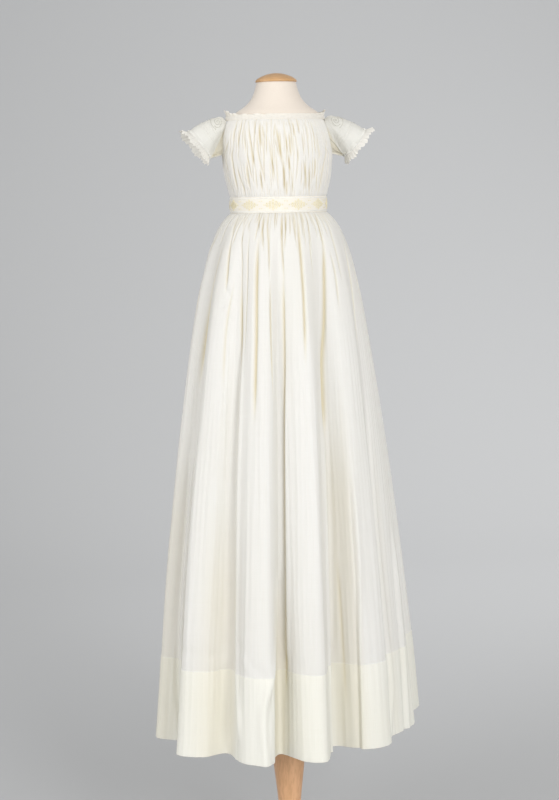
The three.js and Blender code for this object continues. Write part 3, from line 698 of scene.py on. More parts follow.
# %% [markdown]
# ## The deep hem
# The lower 130 mm of the skirt is turned up inside and sewn down, so two layers lie there and less
# light comes through. The inner layer is the skirt's own surface set a little inwards. At the edge
# it meets the outer layer in a small round turn. A line of tiny stitches holds its upper edge.

# %% The deep hem
HEM_LAYER_GAP = 1.5
HEM_TURN = [(0.0, 0.0), (0.25, 0.55), (0.75, 0.55)]  # share of the gap, and millimetres down
STITCH, STITCH_PITCH = np.array([0, 1.5, 3.0]), 5.0


def make_hems():
    for name, (piece, grid, width) in skirt.items():
        lower = grid[:HEM_ROW + 1]
        inner = lower - grid_normals(grid)[:HEM_ROW + 1] * HEM_LAYER_GAP
        turn = [lower[0] + (inner[0] - lower[0]) * share - (0, 0, down) for share, down in HEM_TURN]
        layer = np.concatenate([np.stack(turn), inner])[::-1]
        hem = cloth_shell("hem_" + name, layer, (width, DEEP_HEM), hem_muslin)
        print(f"{name} cut with its hem: {width:.0f} x {SKIRT_LENGTH + DEEP_HEM:.0f} mm")


make_hems()

# %% [markdown]
# ## Stitches
# Every stitch, cord and eyelet is a fine tube along a line of points. A line that ends where it
# starts becomes a ring.


# %% Tubes, and the hem's stitches
def strokes(name, lines, radius, material, sides=5):
    """Thin round stitches: each line is a run of points in millimetres, made into a fine tube."""
    points, faces = [], []
    angle = np.linspace(0, 2 * math.pi, sides, endpoint=False)[None, :, None]
    for line in lines:
        line = np.asarray(line, float)
        closed = np.linalg.norm(line[0] - line[-1]) < 1e-6
        if closed:
            line = line[:-1]
        ahead = np.roll(line, -1, 0) - np.roll(line, 1, 0)
        if not closed:
            ahead[0], ahead[-1] = line[1] - line[0], line[-1] - line[-2]
        ahead = unit(ahead)
        side = unit(np.cross(ahead, line * (1, 1, 0) + 1e-9))
        lift = np.cross(side, ahead)
        tube = line[:, None] + radius * (np.cos(angle) * side[:, None] + np.sin(angle) * lift[:, None])
        faces += tube_faces(len(line), sides, len(points), closed)
        points += list(tube.reshape(-1, 3))
    piece = mesh_object(name, np.array(points) * MM, faces)
    return finish_piece(piece, material)


def make_hem_stitches():
    """Small dashes that follow the surface, one stitch of 3 mm in every 5."""
    lines = []
    for _, grid, _ in skirt.values():
        line = grid[HEM_ROW] + grid_normals(grid)[HEM_ROW] * 0.25
        run = run_of(line)
        for start in np.arange(1, run[-1] - 4, STITCH_PITCH):
            lines.append(on_line(line, run, start + STITCH))
    strokes("hem_stitches", lines, 0.22, white_thread, sides=4)
    return len(lines)


print("hem stitches:", make_hem_stitches())

# %% [markdown]
# ## Bodice
# The bodice is gathered at the neck and again at the waist, so its folds are tight at both ends
# and open into long pillows between them. Sharp, thin valleys that lean a little are what the eye
# sees, and no two are alike. The cloth makes room for the armholes at the sides.

# %% The bodice's form
BODICE_SECTIONS = table("height half_width half_depth", [
    (1066.3, 75.4, 66.6), (1078, 77.6, 68.6), (1092, 80.4, 70.6), (1112, 82.9, 71.7), (1130, 84.2, 71),
    (1145, 83.2, 68.4), (1160, 81.4, 64.2), (1174, 78.0, 58.2), (1184.2, 74.7, 52.4),
])
ARMHOLE_SECTIONS = table("height turn", [(1130, 0), (1140, 14), (1160, 21), (1184.2, 22)])
ARMHOLE_REACH = 60
RIGHT_FRONT = 0.5  # the wearer's right armhole is cut less deep in front
SHOULDER_DRAWN = 5.0
BODICE_ROUND = 480.0
BODICE_FULLNESS = 1.3  # how much wider the cloth is cut than the body it is gathered round
BODICE_BOTTOM, BODICE_TOP = BODICE_SECTIONS["height"][[0, -1]].tolist()


def armhole(height):
    return np.interp(height, ARMHOLE_SECTIONS["height"], ARMHOLE_SECTIONS["turn"])


def beside_armhole(turn, height, is_back):
    crowding = np.clip(1 - np.abs(90 - np.abs(turn)) / ARMHOLE_REACH, 0, 1)
    depth = armhole(height) if is_back else armhole(height) * np.where(turn < 0, RIGHT_FRONT, 1)
    return turn + np.sign(turn) * (1 if is_back else -1) * depth * crowding


def drawn_out(points):
    """The wearer's right shoulder is drawn a little outwards, so the neckline isn't symmetrical."""
    moved = np.array(points, float)
    moved[..., 0] -= SHOULDER_DRAWN * ease(20, 74, -moved[..., 0]) * ease(1125, 1165, moved[..., 2])
    return moved


print("bodice from", BODICE_BOTTOM, "to", BODICE_TOP, "mm")

# %% The bodice's creases
BODICE_CREASES = [  # depth, half width, and a path whose points are height and degrees round
    (4.2, 1.7, (1152, -71.5), (1131, -82.5), (1108, -74)),
    (3.2, 1.1, (1135, -83.2), (1121, -87), (1104, -81.8), (1074, -72)),
    (2.2, 1.0, (1172, -63.5), (1153, -64)), (4.2, 1.5, (1140, -64.5), (1115, -63), (1078, -61)),
    (4.0, 1.6, (1183, -53.2), (1168, -52), (1142, -54.8)), (2.2, 1.0, (1175, -60.2), (1151, -61.8)),
    (3.4, 1.1, (1110, -56.5), (1092, -53.5), (1071, -50.5)), (2.4, 1.0, (1174, -46.5), (1134, -43.8)),
    (4.0, 1.3, (1178, -41), (1155, -37.5), (1137, -36), (1109, -33)),
    (3.0, 1.1, (1129, -40.8), (1094, -38)), (3.8, 1.3, (1118, -42.5), (1080, -42)),
    (4.2, 1.2, (1174, -26.5), (1155, -25.8), (1142, -25)), (3.0, 0.9, (1175, -24), (1156, -21.8)),
    (3.0, 1.2, (1162, -29), (1137, -28.8), (1091, -23.5)), (2.6, 1.0, (1103, -27.8), (1076, -26.8)),
    (3.0, 1.1, (1153, -16.8), (1129, -15.2), (1091, -11.8)),
    (4.6, 1.6, (1170, -8.4), (1151, -6.8), (1117, -4)), (2.6, 0.9, (1155, -10.6), (1128, -7)),
    (4.0, 1.5, (1121, -3), (1103, -2.2), (1072, -1.2)), (3.4, 1.2, (1090, 0.8), (1069, 1)),
    (2.6, 1.0, (1182, -0.2), (1161, 0.5), (1125, 3)), (4.0, 1.3, (1162, 5), (1143, 5), (1126, 5.4)),
    (3.2, 1.2, (1127, 2.8), (1105, 4.2)), (3.8, 1.2, (1178, 11), (1157, 10.2)),
    (3.8, 1.1, (1182, 16.8), (1161, 16.5)), (2.0, 1.1, (1108, 5.2), (1067, 9.2)),
    (4.0, 1.4, (1119, 19.8), (1098, 22.2), (1076, 24.8)), (3.4, 1.1, (1109, 26), (1072, 30)),
    (3.2, 1.1, (1178, 37.5), (1158, 36.2), (1129, 35.2)),
    (4.4, 1.3, (1124, 34.2), (1108, 34.8), (1093, 34.5)), (2.6, 1.0, (1162, 44), (1124, 40)),
    (4.2, 1.5, (1145, 63), (1128, 53), (1108, 47.2), (1073, 45.6)), (2.6, 1.0, (1097, 37.5), (1072, 42.2)),
    (2.8, 0.9, (1177, -9.5), (1158, -11.2)), (2.6, 0.9, (1181, -18.8), (1162, -18.8)),
    (2.8, 1.0, (1181, -33.5), (1160, -31)), (1.6, 1.0, (1180, 27), (1150, 27.5)),
    (2.0, 1.2, (1165, 62), (1140, 66)),
]
BODICE_CREASES += random_creases(34, (-84, 84), (1068, 1090), (30, 80), (1.6, 3.2), (0.6, 1.0))
BODICE_CREASES += random_creases(40, (-84, 84), (1112, 1146), (34, 62), (1.6, 3.2), (0.55, 0.9))
for turns in ((93, 173), (-173, -93)):
    BODICE_CREASES += random_creases(9, turns, (1078, 1120), (30, 70), (3.0, 4.4), (1.1, 1.6))
    BODICE_CREASES += random_creases(8, turns, (1140, 1162), (15, 34), (2.4, 3.8), (0.9, 1.3))
BODICE_CREASES += random_creases(120, (-180, 180), (1170, 1177), (6, 16), (0.8, 1.8), (0.45, 0.8))
BODICE_CREASES += random_creases(110, (-180, 180), (1064, 1067), (9, 24), (0.8, 1.8), (0.5, 0.9))
print("bodice creases:", len(BODICE_CREASES))

# %% Bodice panels
BODICE_CREASE_SHARE = 0.62
# A crease this deep gets the full painted shade.
BODICE_FULL_PAINTED_SHADE_DEPTH = 5.2
BODICE_ROWS = 96


def bodice_grid(low, high, columns):
    """The panel's points, and how much painted shade each gets from its creases."""
    heights = np.linspace(BODICE_BOTTOM, BODICE_TOP, BODICE_ROWS)[:, None]
    turn = np.linspace(low, high, columns)[None, :]
    grid = oval(BODICE_SECTIONS, beside_armhole(turn, heights, is_back=abs(low + high) > 180), heights)
    below_neck, above_band = BODICE_TOP - heights, heights - BODICE_BOTTOM
    room = 2.6 + 3.2 * ease(4, 26, below_neck) * ease(2, 20, above_band)
    sink = np.minimum(crease_sink(turn, heights, BODICE_ROUND / 360, BODICE_CREASES), room)
    from_seam = np.minimum(np.abs(np.abs(turn) - 90), np.abs(180 - np.abs(turn)) - 5)
    calm = ease(0, 7, from_seam)
    pillow = 1.4 * ease(0, 22, below_neck) * ease(0, 45, above_band)
    pillow = pillow + 0.5 * np.sin(np.radians(turn) * 13 + heights / 31) * ease(0, 30, below_neck)
    tucked = 1.9 * ease(3.5, 0, below_neck) + 0.9 * ease(4, 0, above_band)
    out = (pillow - BODICE_CREASE_SHARE * sink) * calm - tucked
    level = ring(1, 1, turn, 0 * heights)
    # Painted shade: the creases' depth, calm at the seams, sets how much crease colour they get.
    return drawn_out(grid + level * out[..., None]), np.clip(sink * calm / BODICE_FULL_PAINTED_SHADE_DEPTH, 0, 1)


def make_bodice():
    for name, (low, high) in PANELS.items():
        grid, depth = bodice_grid(low, high, panel_columns(low, high, BODICE_COLUMNS))
        width = BODICE_FULLNESS * BODICE_ROUND * (high - low) / 360
        plan = (width, BODICE_TOP - BODICE_BOTTOM)
        piece = cloth_shell("bodice_" + name, grid, plan, bodice_muslin_painted_light, fold=depth)
        print(piece.name, len(piece.data.polygons), "faces")


make_bodice()

# %% [markdown]
# ## Waistband
# The band is a strip of insertion work. Its twelve lozenges are small lattices of eyelets, each one
# a hole bound with cream thread, and knots sit where the lattice lines cross. They are laid out
# flat, as on a pattern sheet, and then wrapped round the waist. Cords edge the band.

# %% Band and cords
BAND_LOW, BAND_HIGH = (corner[2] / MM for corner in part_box("waistband_front"))
BAND_HALF = (75.0, 66.1)
BAND_ROUND = math.pi * sum(BAND_HALF)
BAND_ROWS = 30


def on_band(across, height, lift=0.0):
    """A place on the flat strip, in millimetres from the centre front, wrapped round the waist."""
    turn = np.asarray(across) / BAND_ROUND * 360
    edge = np.minimum(height - BAND_LOW, BAND_HIGH - height)
    pucker = 0.3 * np.sin(np.radians(turn) * 83) * ease(3, 0, edge)
    out = lift + pucker + 0.4 * ease(0, 6, edge)
    return ring(BAND_HALF[0] + out, BAND_HALF[1] + out, turn, height)


def make_band():
    """The gathers run in under the strip, whose two edges are turned in."""
    for name, (low, high) in PANELS.items():
        across = np.linspace(low, high, panel_columns(low, high, BAND_COLUMNS)) / 360 * BAND_ROUND
        height = np.linspace(BAND_LOW - 0.3, BAND_HIGH + 0.7, BAND_ROWS)
        grid = on_band(across[None, :], height[:, None])
        for edge in (0, -1):
            grid[edge] -= 0.3 * unit(grid[edge] * (1, 1, 0))
        piece = cloth_shell("waistband_" + name, grid, (across, height), band_cotton)


def make_band_cords():
    across = np.linspace(-BAND_ROUND / 2, BAND_ROUND / 2, 361)
    heights = (BAND_LOW + 1.2, BAND_LOW + 2.6, BAND_HIGH - 1.4)
    rows = [on_band(across, np.full_like(across, height), 0.35) for height in heights]
    strokes("band_cords", rows, 0.45, white_thread, sides=6)
    return len(rows)


make_band()
print("band round:", round(BAND_ROUND), "mm, cords:", make_band_cords())

# %% Lozenges
LOZENGES = 12
LOZENGE_LENGTH, LOZENGE_HEIGHT = 27.0, 15.0
LATTICE = 3  # eyelets along each side of a lozenge
EYELET, KNOT, DOT = (1.7, 1.25, 0.3, 12), (0.75, 0.55, 0.3, 7), (0.5, 0.4, 0.2, 6)


def ellipse(across, height, wide, tall, lift, steps):
    angle = np.linspace(0, 2 * math.pi, steps + 1)
    return on_band(across + wide * np.cos(angle), height + tall * np.sin(angle), lift)


def lattice(centre, middle, count):
    """The places of a lozenge's lattice that has count places along each side."""
    along, up = LOZENGE_LENGTH / 2 / LATTICE, LOZENGE_HEIGHT / 2 / LATTICE
    return [(centre + (a + b - count + 1) * along, middle + (a - b) * up)
            for a in range(count) for b in range(count)]


def make_lozenges():
    eyelets, knots = [], []
    middle = (BAND_LOW + BAND_HIGH) / 2 + 0.4
    pitch = BAND_ROUND / LOZENGES
    for k in range(LOZENGES):
        centre = (k - LOZENGES / 2 + 0.5) * pitch
        eyelets += [ellipse(*place, *EYELET) for place in lattice(centre, middle, LATTICE)]
        knots += [ellipse(*place, *KNOT) for place in lattice(centre, middle, LATTICE + 1)]
        knots += [ellipse(centre + pitch / 2 + offset, middle + side * 5.5, *DOT)
                  for side in (-1, 1) for offset in (-1.6, 1.6)]
    strokes("lozenge_eyelets", eyelets, 0.5, cream_thread)
    strokes("lozenge_knots", knots, 0.5, cream_thread)
    return len(eyelets), len(knots)


print("eyelets and knots:", make_lozenges())

# %% [markdown]
# ## Neckline
# A narrow casing holds the drawstring, and a small frill stands on it. Across the front the frill
# lies flat, with fine tucks, so that the two look like one strip. At the wearer's right it is
# crumpled, and on each shoulder it stands up as a small pointed ruffle.

# %% Casing and frill
CASING_LOW, CASING_HIGH = (corner[2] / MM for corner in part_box("neck_casing"))
NECK_HALF = (73.6, 51.1)
NECK_ROUND = math.pi * sum(NECK_HALF)
FRILL_CUT, FRILL_FULLNESS = 10.2, 1.15
FRILL_FOOT = 1.6  # how far the frill reaches down inside the casing


def neck_shell(solid, out, turn, height, plan):
    grid = ring(NECK_HALF[0] + out, NECK_HALF[1] + out, turn, height)
    return cloth_shell(solid, drawn_out(grid), plan, frill_muslin)


def make_casing():
    turn, share = np.linspace(-179.8, 179.8, 721)[None, :], np.linspace(0, 1, 16)[:, None]
    around = np.radians(turn)
    pucker = 0.25 * np.sin(around * 71 + 1.5 * np.sin(around * 9)) * np.sin(np.pi * share)
    out = 0.9 * np.sin(np.pi * share) ** 0.7 + 0.1 + pucker
    low, high = CASING_LOW - 0.9, CASING_HIGH + 0.5
    rise = (high - low) * share
    piece = neck_shell("neck_casing", out, turn, low + rise, (turn[0] / 360 * NECK_ROUND, rise[:, 0]))


def make_neck_frill():
    """A strip folded double: its fold is the frill's edge, its two sides are sewn into the casing."""
    turn, way = np.linspace(-179.8, 179.8, 1081)[None, :], np.linspace(-1, 1, 25)[:, None]
    share = 1 - np.abs(way) ** 1.6  # up the outside, over the fold at the top and down the inside
    around = np.radians(turn)
    shoulder = np.abs(np.sin(around)) ** 14
    flat = window((-22, -12), (60, 74), turn)
    crumple = np.sin(around * 29 + 2.2 * np.sin(around * 5)) + 0.6 * np.sin(around * 47 + 1.0 + 3 * share)
    wave = (0.8 * crumple * (1 - 0.9 * flat) + 0.15 * np.sin(around * 17)) * np.clip(share, 0, 1) ** 0.8
    rise = FRILL_FOOT + 2.2 + 0.8 * np.sin(around * 23 + 1) * (1 - flat) + 7.4 * shoulder
    out = -0.6 + 0.3 * share + wave + 3.0 * shoulder * share**1.5 - 0.45 * ease(-0.3, 0.3, way)
    height = CASING_HIGH + 0.2 - FRILL_FOOT + rise * share
    length = NECK_ROUND * FRILL_FULLNESS
    plan = (turn[0] / 360 * length, FRILL_CUT * (way[:, 0] + 1) / 2)
    piece = neck_shell("neck_frill", out, turn, height, plan)


make_casing()
make_neck_frill()
print("neckline round:", round(NECK_ROUND), "mm")

# %% [markdown]
# ## Sleeves
# A sleeve is a short flared tube set into the armhole. Tucks run round it, parallel to the cuff,
# and two scrolls are worked in whitework near the shoulder. The surface is found by drawing
# straight lines from the armhole to the tilted cuff and puffing them out a little between.

# %% The sleeve's surface
HEAD_BOTTOM, HEAD_MIDDLE, HEAD_TOP, HEAD_INSET = 1131.4, 1160, 1183.7, 0.5
CUFF = dict(out=123, height=1147, radius=26.5)
CUFF_EDGE = dict(out=130, height=1142.5, radius=34.5)
CUFF_TILT = math.radians(38.7)
SLEEVE_FAN = 2.2  # 1 would make it a plain cone
SLEEVE_BULGE = 0.4
SLEEVE_SECTIONS = table("share puff tuck", [
    (0, 0, 0), (0.1, 6.5, 0.6), (0.25, 8.7, 2), (0.5, 8, 3), (0.75, 5, 1.8), (1, 0, 0),
])
TUCK_FROM = 0.42


def sleeve_head(around, side):
    """The seam in the armhole. The front is where around is below 0."""
    s, c = np.sin(around), np.cos(around)
    upper = c > 0
    rise = (HEAD_TOP - HEAD_MIDDLE) * np.sqrt(np.abs(c))
    height = HEAD_MIDDLE + np.where(upper, rise, (HEAD_MIDDLE - HEAD_BOTTOM) * c)
    half = np.maximum(0, armhole(height - HEAD_INSET) - HEAD_INSET)
    if side < 0:
        half = half * np.where(s < 0, RIGHT_FRONT, 1)
    turn = 90 + half * np.sign(s) * np.where(upper, np.sqrt(np.abs(s)), np.abs(s) > 1e-9)
    return oval(BODICE_SECTIONS, turn, height)


def cuff_ring(cuff, around):
    up = np.array([math.sin(CUFF_TILT), 0, math.cos(CUFF_TILT)])
    middle = np.array([cuff["out"], 0, cuff["height"]])
    spoke = np.cos(around)[..., None] * up + np.sin(around)[..., None] * np.array([0, 1, 0])
    return middle + cuff["radius"] * spoke


def on_side(points, side):
    """side is 1 for the wearer's left and -1 for the right, which mirrors it."""
    return points * np.array([side, 1, 1])


def sleeve_point(around, share, side):
    """around runs from -pi to pi through 0 at the shoulder; the lines fan out towards the cuff."""
    around, share = np.broadcast_arrays(around, share)
    half, part = np.sign(around), np.clip(np.abs(around) / np.pi, 0, 1)
    head, cuff = half * np.pi * part**SLEEVE_FAN, half * np.pi * (1 - (1 - part) ** SLEEVE_FAN)
    tucked = half * np.sin(np.pi * (np.maximum(part, TUCK_FROM) - TUCK_FROM) / (1 - TUCK_FROM))
    start = on_side(sleeve_head(head, side), side)
    if side < 0:
        start = drawn_out(start)
    point = start + (on_side(cuff_ring(CUFF, cuff), side) - start) * share[..., None]
    puff = smooth_read(SLEEVE_SECTIONS, "puff", share)
    point[..., 2] += puff * np.maximum(0, np.cos(cuff))
    point[..., 1] += SLEEVE_BULGE * puff * np.sin(cuff) - smooth_read(SLEEVE_SECTIONS, "tuck", share) * tucked
    return point


shoulder_line = sleeve_point(np.zeros(2), np.array([0.0, 1.0]), 1)
print("sleeve length on top:", round(run_of(shoulder_line)[-1], 1), "mm")

# %% Sleeves, tucks and cuff frills
TUCKS = (0.44, 0.50, 0.62, 0.68)
TUCK_HEIGHT, TUCK_WIDTH = 0.8, 0.012  # millimetres, and a share of the sleeve's length
SLEEVE_PLAN, CUFF_PLAN = (2 * math.pi * 25.5, 52), (250, 12)
SIDES = {"left": 1, "right": -1}


def underside(around, share):
    """1 on the part below the fold that runs from the shoulder to the cuff's lowest corner."""
    edge = math.pi * (0.60 + 0.26 * share)
    behind = window((edge - 0.06, edge + 0.16), (2.95, math.pi), np.abs(around))
    return behind * window((0, 0.12), (0.86, 1.0), share)


def sleeve_places(columns, rows):
    return np.linspace(-math.pi, math.pi, columns)[None, :], np.linspace(1, 0, rows)[:, None]


def turned_right(grid, side):
    """The right sleeve's columns run the other way round, so that its faces look outwards too."""
    return grid[:, ::side]


def sleeve_grid(side):
    """The sleeve's points, and the painted shade on its underside."""
    around, share = sleeve_places(241, 91)
    grid = sleeve_point(around, share, side)
    outwards = grid_normals(grid, wrap=True) * side
    tuck = sum(TUCK_HEIGHT * np.exp(-(((share - t) / TUCK_WIDTH) ** 2)) for t in TUCKS)
    insertion = -0.5 * np.exp(-(((share - 0.9) / 0.02) ** 2))
    below = underside(around, share)
    gathers = np.sin(around * 27 + 2 * np.sin(around * 7 + side)) + 0.5 * np.sin(around * 43 + side)
    crease = 0.35 * gathers * window((0, 0.06), (0.1, 0.5), share)
    slack = 0.5 * np.sin(around * 11 + 6 * share + side) * ease(0.7, 1, share)
    grid = grid + outwards * (tuck + insertion + crease + slack - 2.4 * below)[..., None]
    # Painted shade: the underside, which turns down into shadow, gets half the crease colour.
    return turned_right(grid, side), turned_right(0.5 * below, side)


def frill_grid(side):
    """Fine pleats fan out from the cuff, and the frill's edge swings only a little."""
    around, share = sleeve_places(769, 24)
    waves = np.sin(around * 31 + 1.6 * np.sin(around * 3 + side)) + 0.4 * np.sin(around * 49 + 2)
    slow = np.sin(around * 8 + 1.2 * np.sin(around * 2 - side))
    inner, outer = cuff_ring(CUFF, around), cuff_ring(CUFF_EDGE, around)
    length = 1 + (0.08 * np.sin(around * 2 + 1.3 * side) + 0.04 * np.sin(around * 8)) * share
    grid = inner + (outer - inner) * (share * length)[..., None]
    along = np.array([math.cos(CUFF_TILT), 0, -math.sin(CUFF_TILT)])
    grid = grid + along * (0.2 + 0.9 * waves * share**0.7 + 1.2 * slow * share**1.6)[..., None]
    return turned_right(on_side(grid, side), side)


def make_sleeves():
    for name, side in SIDES.items():
        grid, depth = sleeve_grid(side)
        sleeve = cloth_shell("sleeve_" + name, grid, SLEEVE_PLAN, sleeve_muslin_painted_shade, fold=depth)
        edge = cloth_shell("cuff_frill_" + name, frill_grid(side), CUFF_PLAN, frill_muslin)


make_sleeves()
print("sleeves and cuff frills made, with", len(TUCKS), "tucks each")

# %% [markdown]
# Each sleeve has two scrolls, one on either side of the shoulder. A scroll is a padded spiral with
# a second arc below it. Drawn in the sleeve's own two coordinates, laid on the surface and lifted
# by half its thickness, it follows every curve.

# %% Whitework scrolls and cuff bars
SCROLL_SIZE, ARC_GAP = 6.8, 2.6
SCROLL_AROUND, SCROLL_SHARE = 0.5, 0.27
SPIRAL = np.linspace(0.5, 4.4 * math.pi, 60)
SCROLL_LINES = [  # each line's reach in millimetres and its angle
    (SCROLL_SIZE * SPIRAL / SPIRAL[-1], SPIRAL),
    (SCROLL_SIZE + ARC_GAP, np.linspace(0.9, 2.9, 16)),
]
ROUND_PER_MM, SHARE_PER_MM = 1 / 19.0, 1 / SLEEVE_PLAN[1]
CUFF_BARS = 110


def laid_on_sleeve(side, around, share, lift):
    step = 0.01
    point = sleeve_point(around, share, side)
    beside, above = sleeve_point(around + step, share, side), sleeve_point(around, share - step, side)
    return point + unit(np.cross(beside - point, above - point) * side) * lift


def make_scrolls():
    lines = []
    for side in SIDES.values():
        for hand in (-1, 1):
            for reach, angle in SCROLL_LINES:
                around = hand * (SCROLL_AROUND + reach * np.cos(angle) * ROUND_PER_MM)
                share = SCROLL_SHARE + reach * np.sin(angle) * SHARE_PER_MM
                lines.append(laid_on_sleeve(side, around, share, 0.5))
    strokes("sleeve_scrolls", lines, 0.5, outline_thread_painted_shade, sides=6)
    return len(lines)


def make_cuff_beads():
    """A dense row of little bars, sewn round each cuff where the frill begins."""
    lines = []
    for side in SIDES.values():
        for around in np.linspace(-math.pi, math.pi, CUFF_BARS, endpoint=False):
            lines.append(laid_on_sleeve(side, np.full(3, around), np.array([0.95, 0.97, 0.99]), 0.45))
    strokes("cuff_beads", lines, 0.42, white_thread, sides=5)
    return len(lines)


print("scroll lines:", make_scrolls(), "cuff bars:", make_cuff_beads())

# %% [markdown]
# ## Centre back
# The back closes with a plain placket and three small thread buttons. A thread button is a ring
# covered with stitches, so it is turned as a low dome with a dent.


# %% Placket and buttons
def round_piece(name, grid, material, solid, matrix=None):
    """A closed round piece from its rings, in place of a solid."""
    piece = mesh_object(name, grid * MM, tube_faces(*grid.shape[:2]))
    if matrix is not None:
        piece.data.transform(matrix)
    return finish_piece(piece, material, [solid])


def lathe(name, profile, sides, material, solid, matrix=None):
    """A turned piece: profile holds (radius, height) pairs in millimetres from bottom to top."""
    radius, height = np.array(profile, float).T[..., None]
    turn = np.linspace(0, 360, sides, endpoint=False)[None, :]
    return round_piece(name, ring(radius, radius, turn, height), material, solid, matrix)


def make_placket():
    heights = np.linspace(BODICE_BOTTOM + 0.5, BODICE_TOP - 0.5, 60)
    across = np.linspace(6, -6, 25)
    stitch = -0.35 * np.exp(-((np.abs(across) - 4.8) / 0.35) ** 2)
    back = smooth_read(BODICE_SECTIONS, "half_depth", heights) + 1.5 + 0.2 * np.sin(heights / 7.0)
    grid = np.stack(np.broadcast_arrays(across, back[:, None] + stitch, heights[:, None]), -1)
    piece = cloth_shell("back_placket", grid, (across, heights), muslin)


BUTTON_PROFILE = [(1.2, 0), (2.5, 0), (3.0, 0.5), (2.95, 1.1), (2.6, 1.65), (2.1, 1.75), (1.7, 1.45),
                  (0.9, 1.4), (0.05, 1.5)]


def make_buttons():
    facing_back = Matrix.Rotation(math.radians(-90), 4, "X")
    for name in ("button_neck", "button_bodice", "button_waist"):
        low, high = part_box(name)
        middle = Vector(((low[0] + high[0]) / 2, low[1], (low[2] + high[2]) / 2))
        lathe(name + "_thread", BUTTON_PROFILE, 36, white_thread, name,
              Matrix.Translation(middle) @ facing_back)


make_placket()
make_buttons()
print("placket and buttons made")

# %% [markdown]
# ## The dress form
# The form is a padded torso covered with cream jersey, on a turned stem with a round base. Its neck
# ends in a wooden cap. It has no limbs, only the shoulders' slope, and is plain where the gown
# hides it. Fine rings through the same heights as the rigid torso give it a smooth neck.

# %% Torso, cap, stem and base
FORM_SECTIONS = table("height half_width half_depth", [
    (852, 27, 27), (857, 45, 41), (870, 64, 57), (890, 76, 67), (920, 82, 71), (960, 81, 71),
    (1000, 75, 66), (1036, 71.6, 62.7), (1072, 71.6, 62.7), (1110, 72.5, 61), (1150, 73.5, 57),
    (1172, 73.2, 52.5), (1184, 71.5, 49), (1190, 68.5, 47), (1196, 62.5, 44.5), (1204, 50.5, 40),
    (1214, 40.6, 36), (1224, 35.2, 33), (1234, 32, 31), (1241, 30.4, 30),
])
CAP_PROFILE = [
    (29.6, 1241), (30.9, 1241.05), (31.6, 1241.6), (31.9, 1242.5), (31.75, 1243.5), (31.1, 1244.6),
    (29.6, 1246.0), (26.9, 1247.8), (23.4, 1249.7), (19, 1251.5), (14.4, 1253), (9.5, 1254.1),
    (4.8, 1254.8), (0.3, 1255),
]
STEM_SECTIONS = table("height radius", [
    (22, 34), (27, 33), (34, 22), (58, 15.5), (98, 18.2), (172, 25.8), (226, 29), (262, 27),
    (320, 19), (400, 15.5), (800, 15), (846, 17), (852, 24),
])
BASE_PROFILE = [
    (136, 0), (138.6, 0.4), (140.4, 1.8), (141, 4.5), (141, 11), (140.2, 14), (137.8, 17),
    (134, 19.2), (129, 20.8), (123, 21.8), (116, 22), (0.5, 22),
]


def make_form():
    heights = np.concatenate([np.linspace(852, 1180, 90)[:-1], np.linspace(1180, 1241, 60)])[:, None]
    torso = oval(FORM_SECTIONS, np.linspace(0, 360, 128, endpoint=False)[None, :], heights)
    round_piece("form_torso_cover", torso, form_jersey, "form_torso")
    lathe("form_neck_cap_wood", CAP_PROFILE, 96, cap_wood, "form_neck_cap")
    heights = np.linspace(22, 852, 170)
    stem = np.stack([smooth_read(STEM_SECTIONS, "radius", heights), heights], -1)
    lathe("form_stem_wood", stem, 72, stem_wood_painted_light, "form_stem")
    lathe("form_base_wood", BASE_PROFILE, 120, base_wood, "form_base")


make_form()
print("dress form made")

# %% [markdown]
# ## Studio
# A pale sweep of paper runs from the floor up behind the gown, so there is no horizon. A large soft
# light stands a little to the right of the camera and above it, so that each ridge's right part is
# its brightest and the short side of each valley lies in shade. A low one lifts the stem. White
# cloth is lit from many sides at once, so the world's own light is strong too.

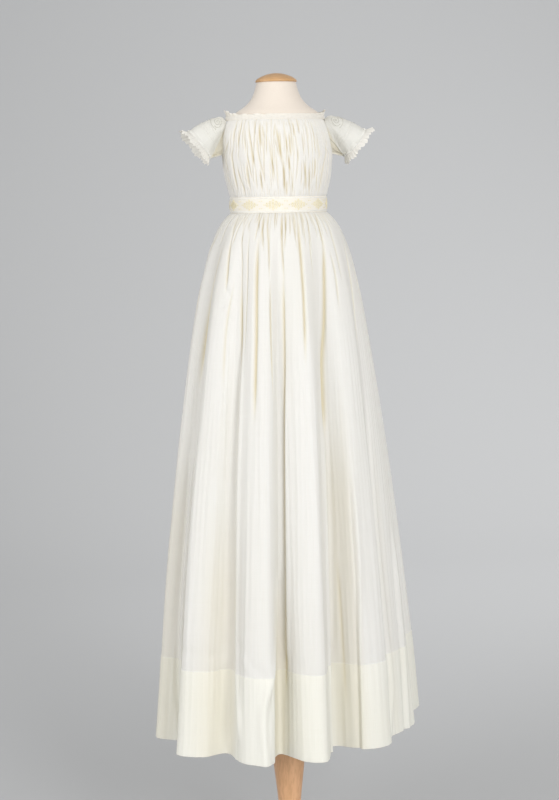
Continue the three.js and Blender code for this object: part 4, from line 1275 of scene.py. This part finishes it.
# %% Sweep, lights and world
SWEEP_FRONT, SWEEP_BACK, SWEEP_BEND, SWEEP_TOP, SWEEP_HALF = -6.0, 4.8, 2.6, 6.0, 6.5
PAPER = (0.465, 0.47, 0.477, 1)
LIGHTS = {  # where each light is, what it is aimed at, its size and its power
    "soft_key": ((0.75, -3.1, 1.65), (0, 0, 1.12), 1.1, 50),
    "soft_fill": ((-2.6, -1.7, 1.4), (0, 0, 0.95), 1.8, 33),
    "low_light": ((1.0, -2.6, 0.9), (0, 0, 0.15), 1.2, 6),
    "sweep_light": ((1.1, 1.5, 2.5), (0.9, 3.6, 0.3), 2.0, 42),
    "right_light": ((2.9, 2.0, 1.5), (1.7, 4.2, 0.7), 1.4, 13),
}
WORLD_COLOUR, WORLD_STRENGTH = (1.0, 0.998, 0.985, 1), 0.645


def make_sweep():
    material, tree, _ = new_material("paper", "UV")
    paper = {"Base Color": PAPER, "Roughness": 0.95, "Specular IOR Level": 0.1}
    output(tree, node(tree, "ShaderNodeBsdfPrincipled", paper))
    angle = np.linspace(0, math.pi / 2, 24)
    back = SWEEP_BACK - SWEEP_BEND + SWEEP_BEND * np.sin(angle)
    up = SWEEP_BEND - SWEEP_BEND * np.cos(angle)
    line = [(SWEEP_FRONT, 0.0), *zip(back, up), (SWEEP_BACK, SWEEP_TOP)]
    points = [(x, y, z) for y, z in line for x in (-SWEEP_HALF, SWEEP_HALF)]
    faces = [(2 * i, 2 * i + 1, 2 * i + 3, 2 * i + 2) for i in range(len(line) - 1)]
    sweep = mesh_object("paper_sweep", points, faces)
    sweep.data.materials.append(material)


def add_lights():
    for name, (place, aim, size, power) in LIGHTS.items():
        data = bpy.data.lights.new(name, "AREA")
        data.shape, data.size, data.energy = "DISK", size, power
        lamp = placed(name, data)
        lamp.location = place
        lamp.rotation_euler = (Vector(aim) - Vector(place)).to_track_quat("-Z", "Y").to_euler()


def set_world():
    world = bpy.data.worlds.new("studio")
    world.use_nodes = True
    background = world.node_tree.nodes["Background"]
    background.inputs["Color"].default_value = WORLD_COLOUR
    background.inputs["Strength"].default_value = WORLD_STRENGTH
    bpy.context.scene.world = world


make_sweep()
add_lights()
set_world()
bpy.context.scene.view_settings.view_transform = "Standard"
print("studio ready with", len(LIGHTS), "lights")
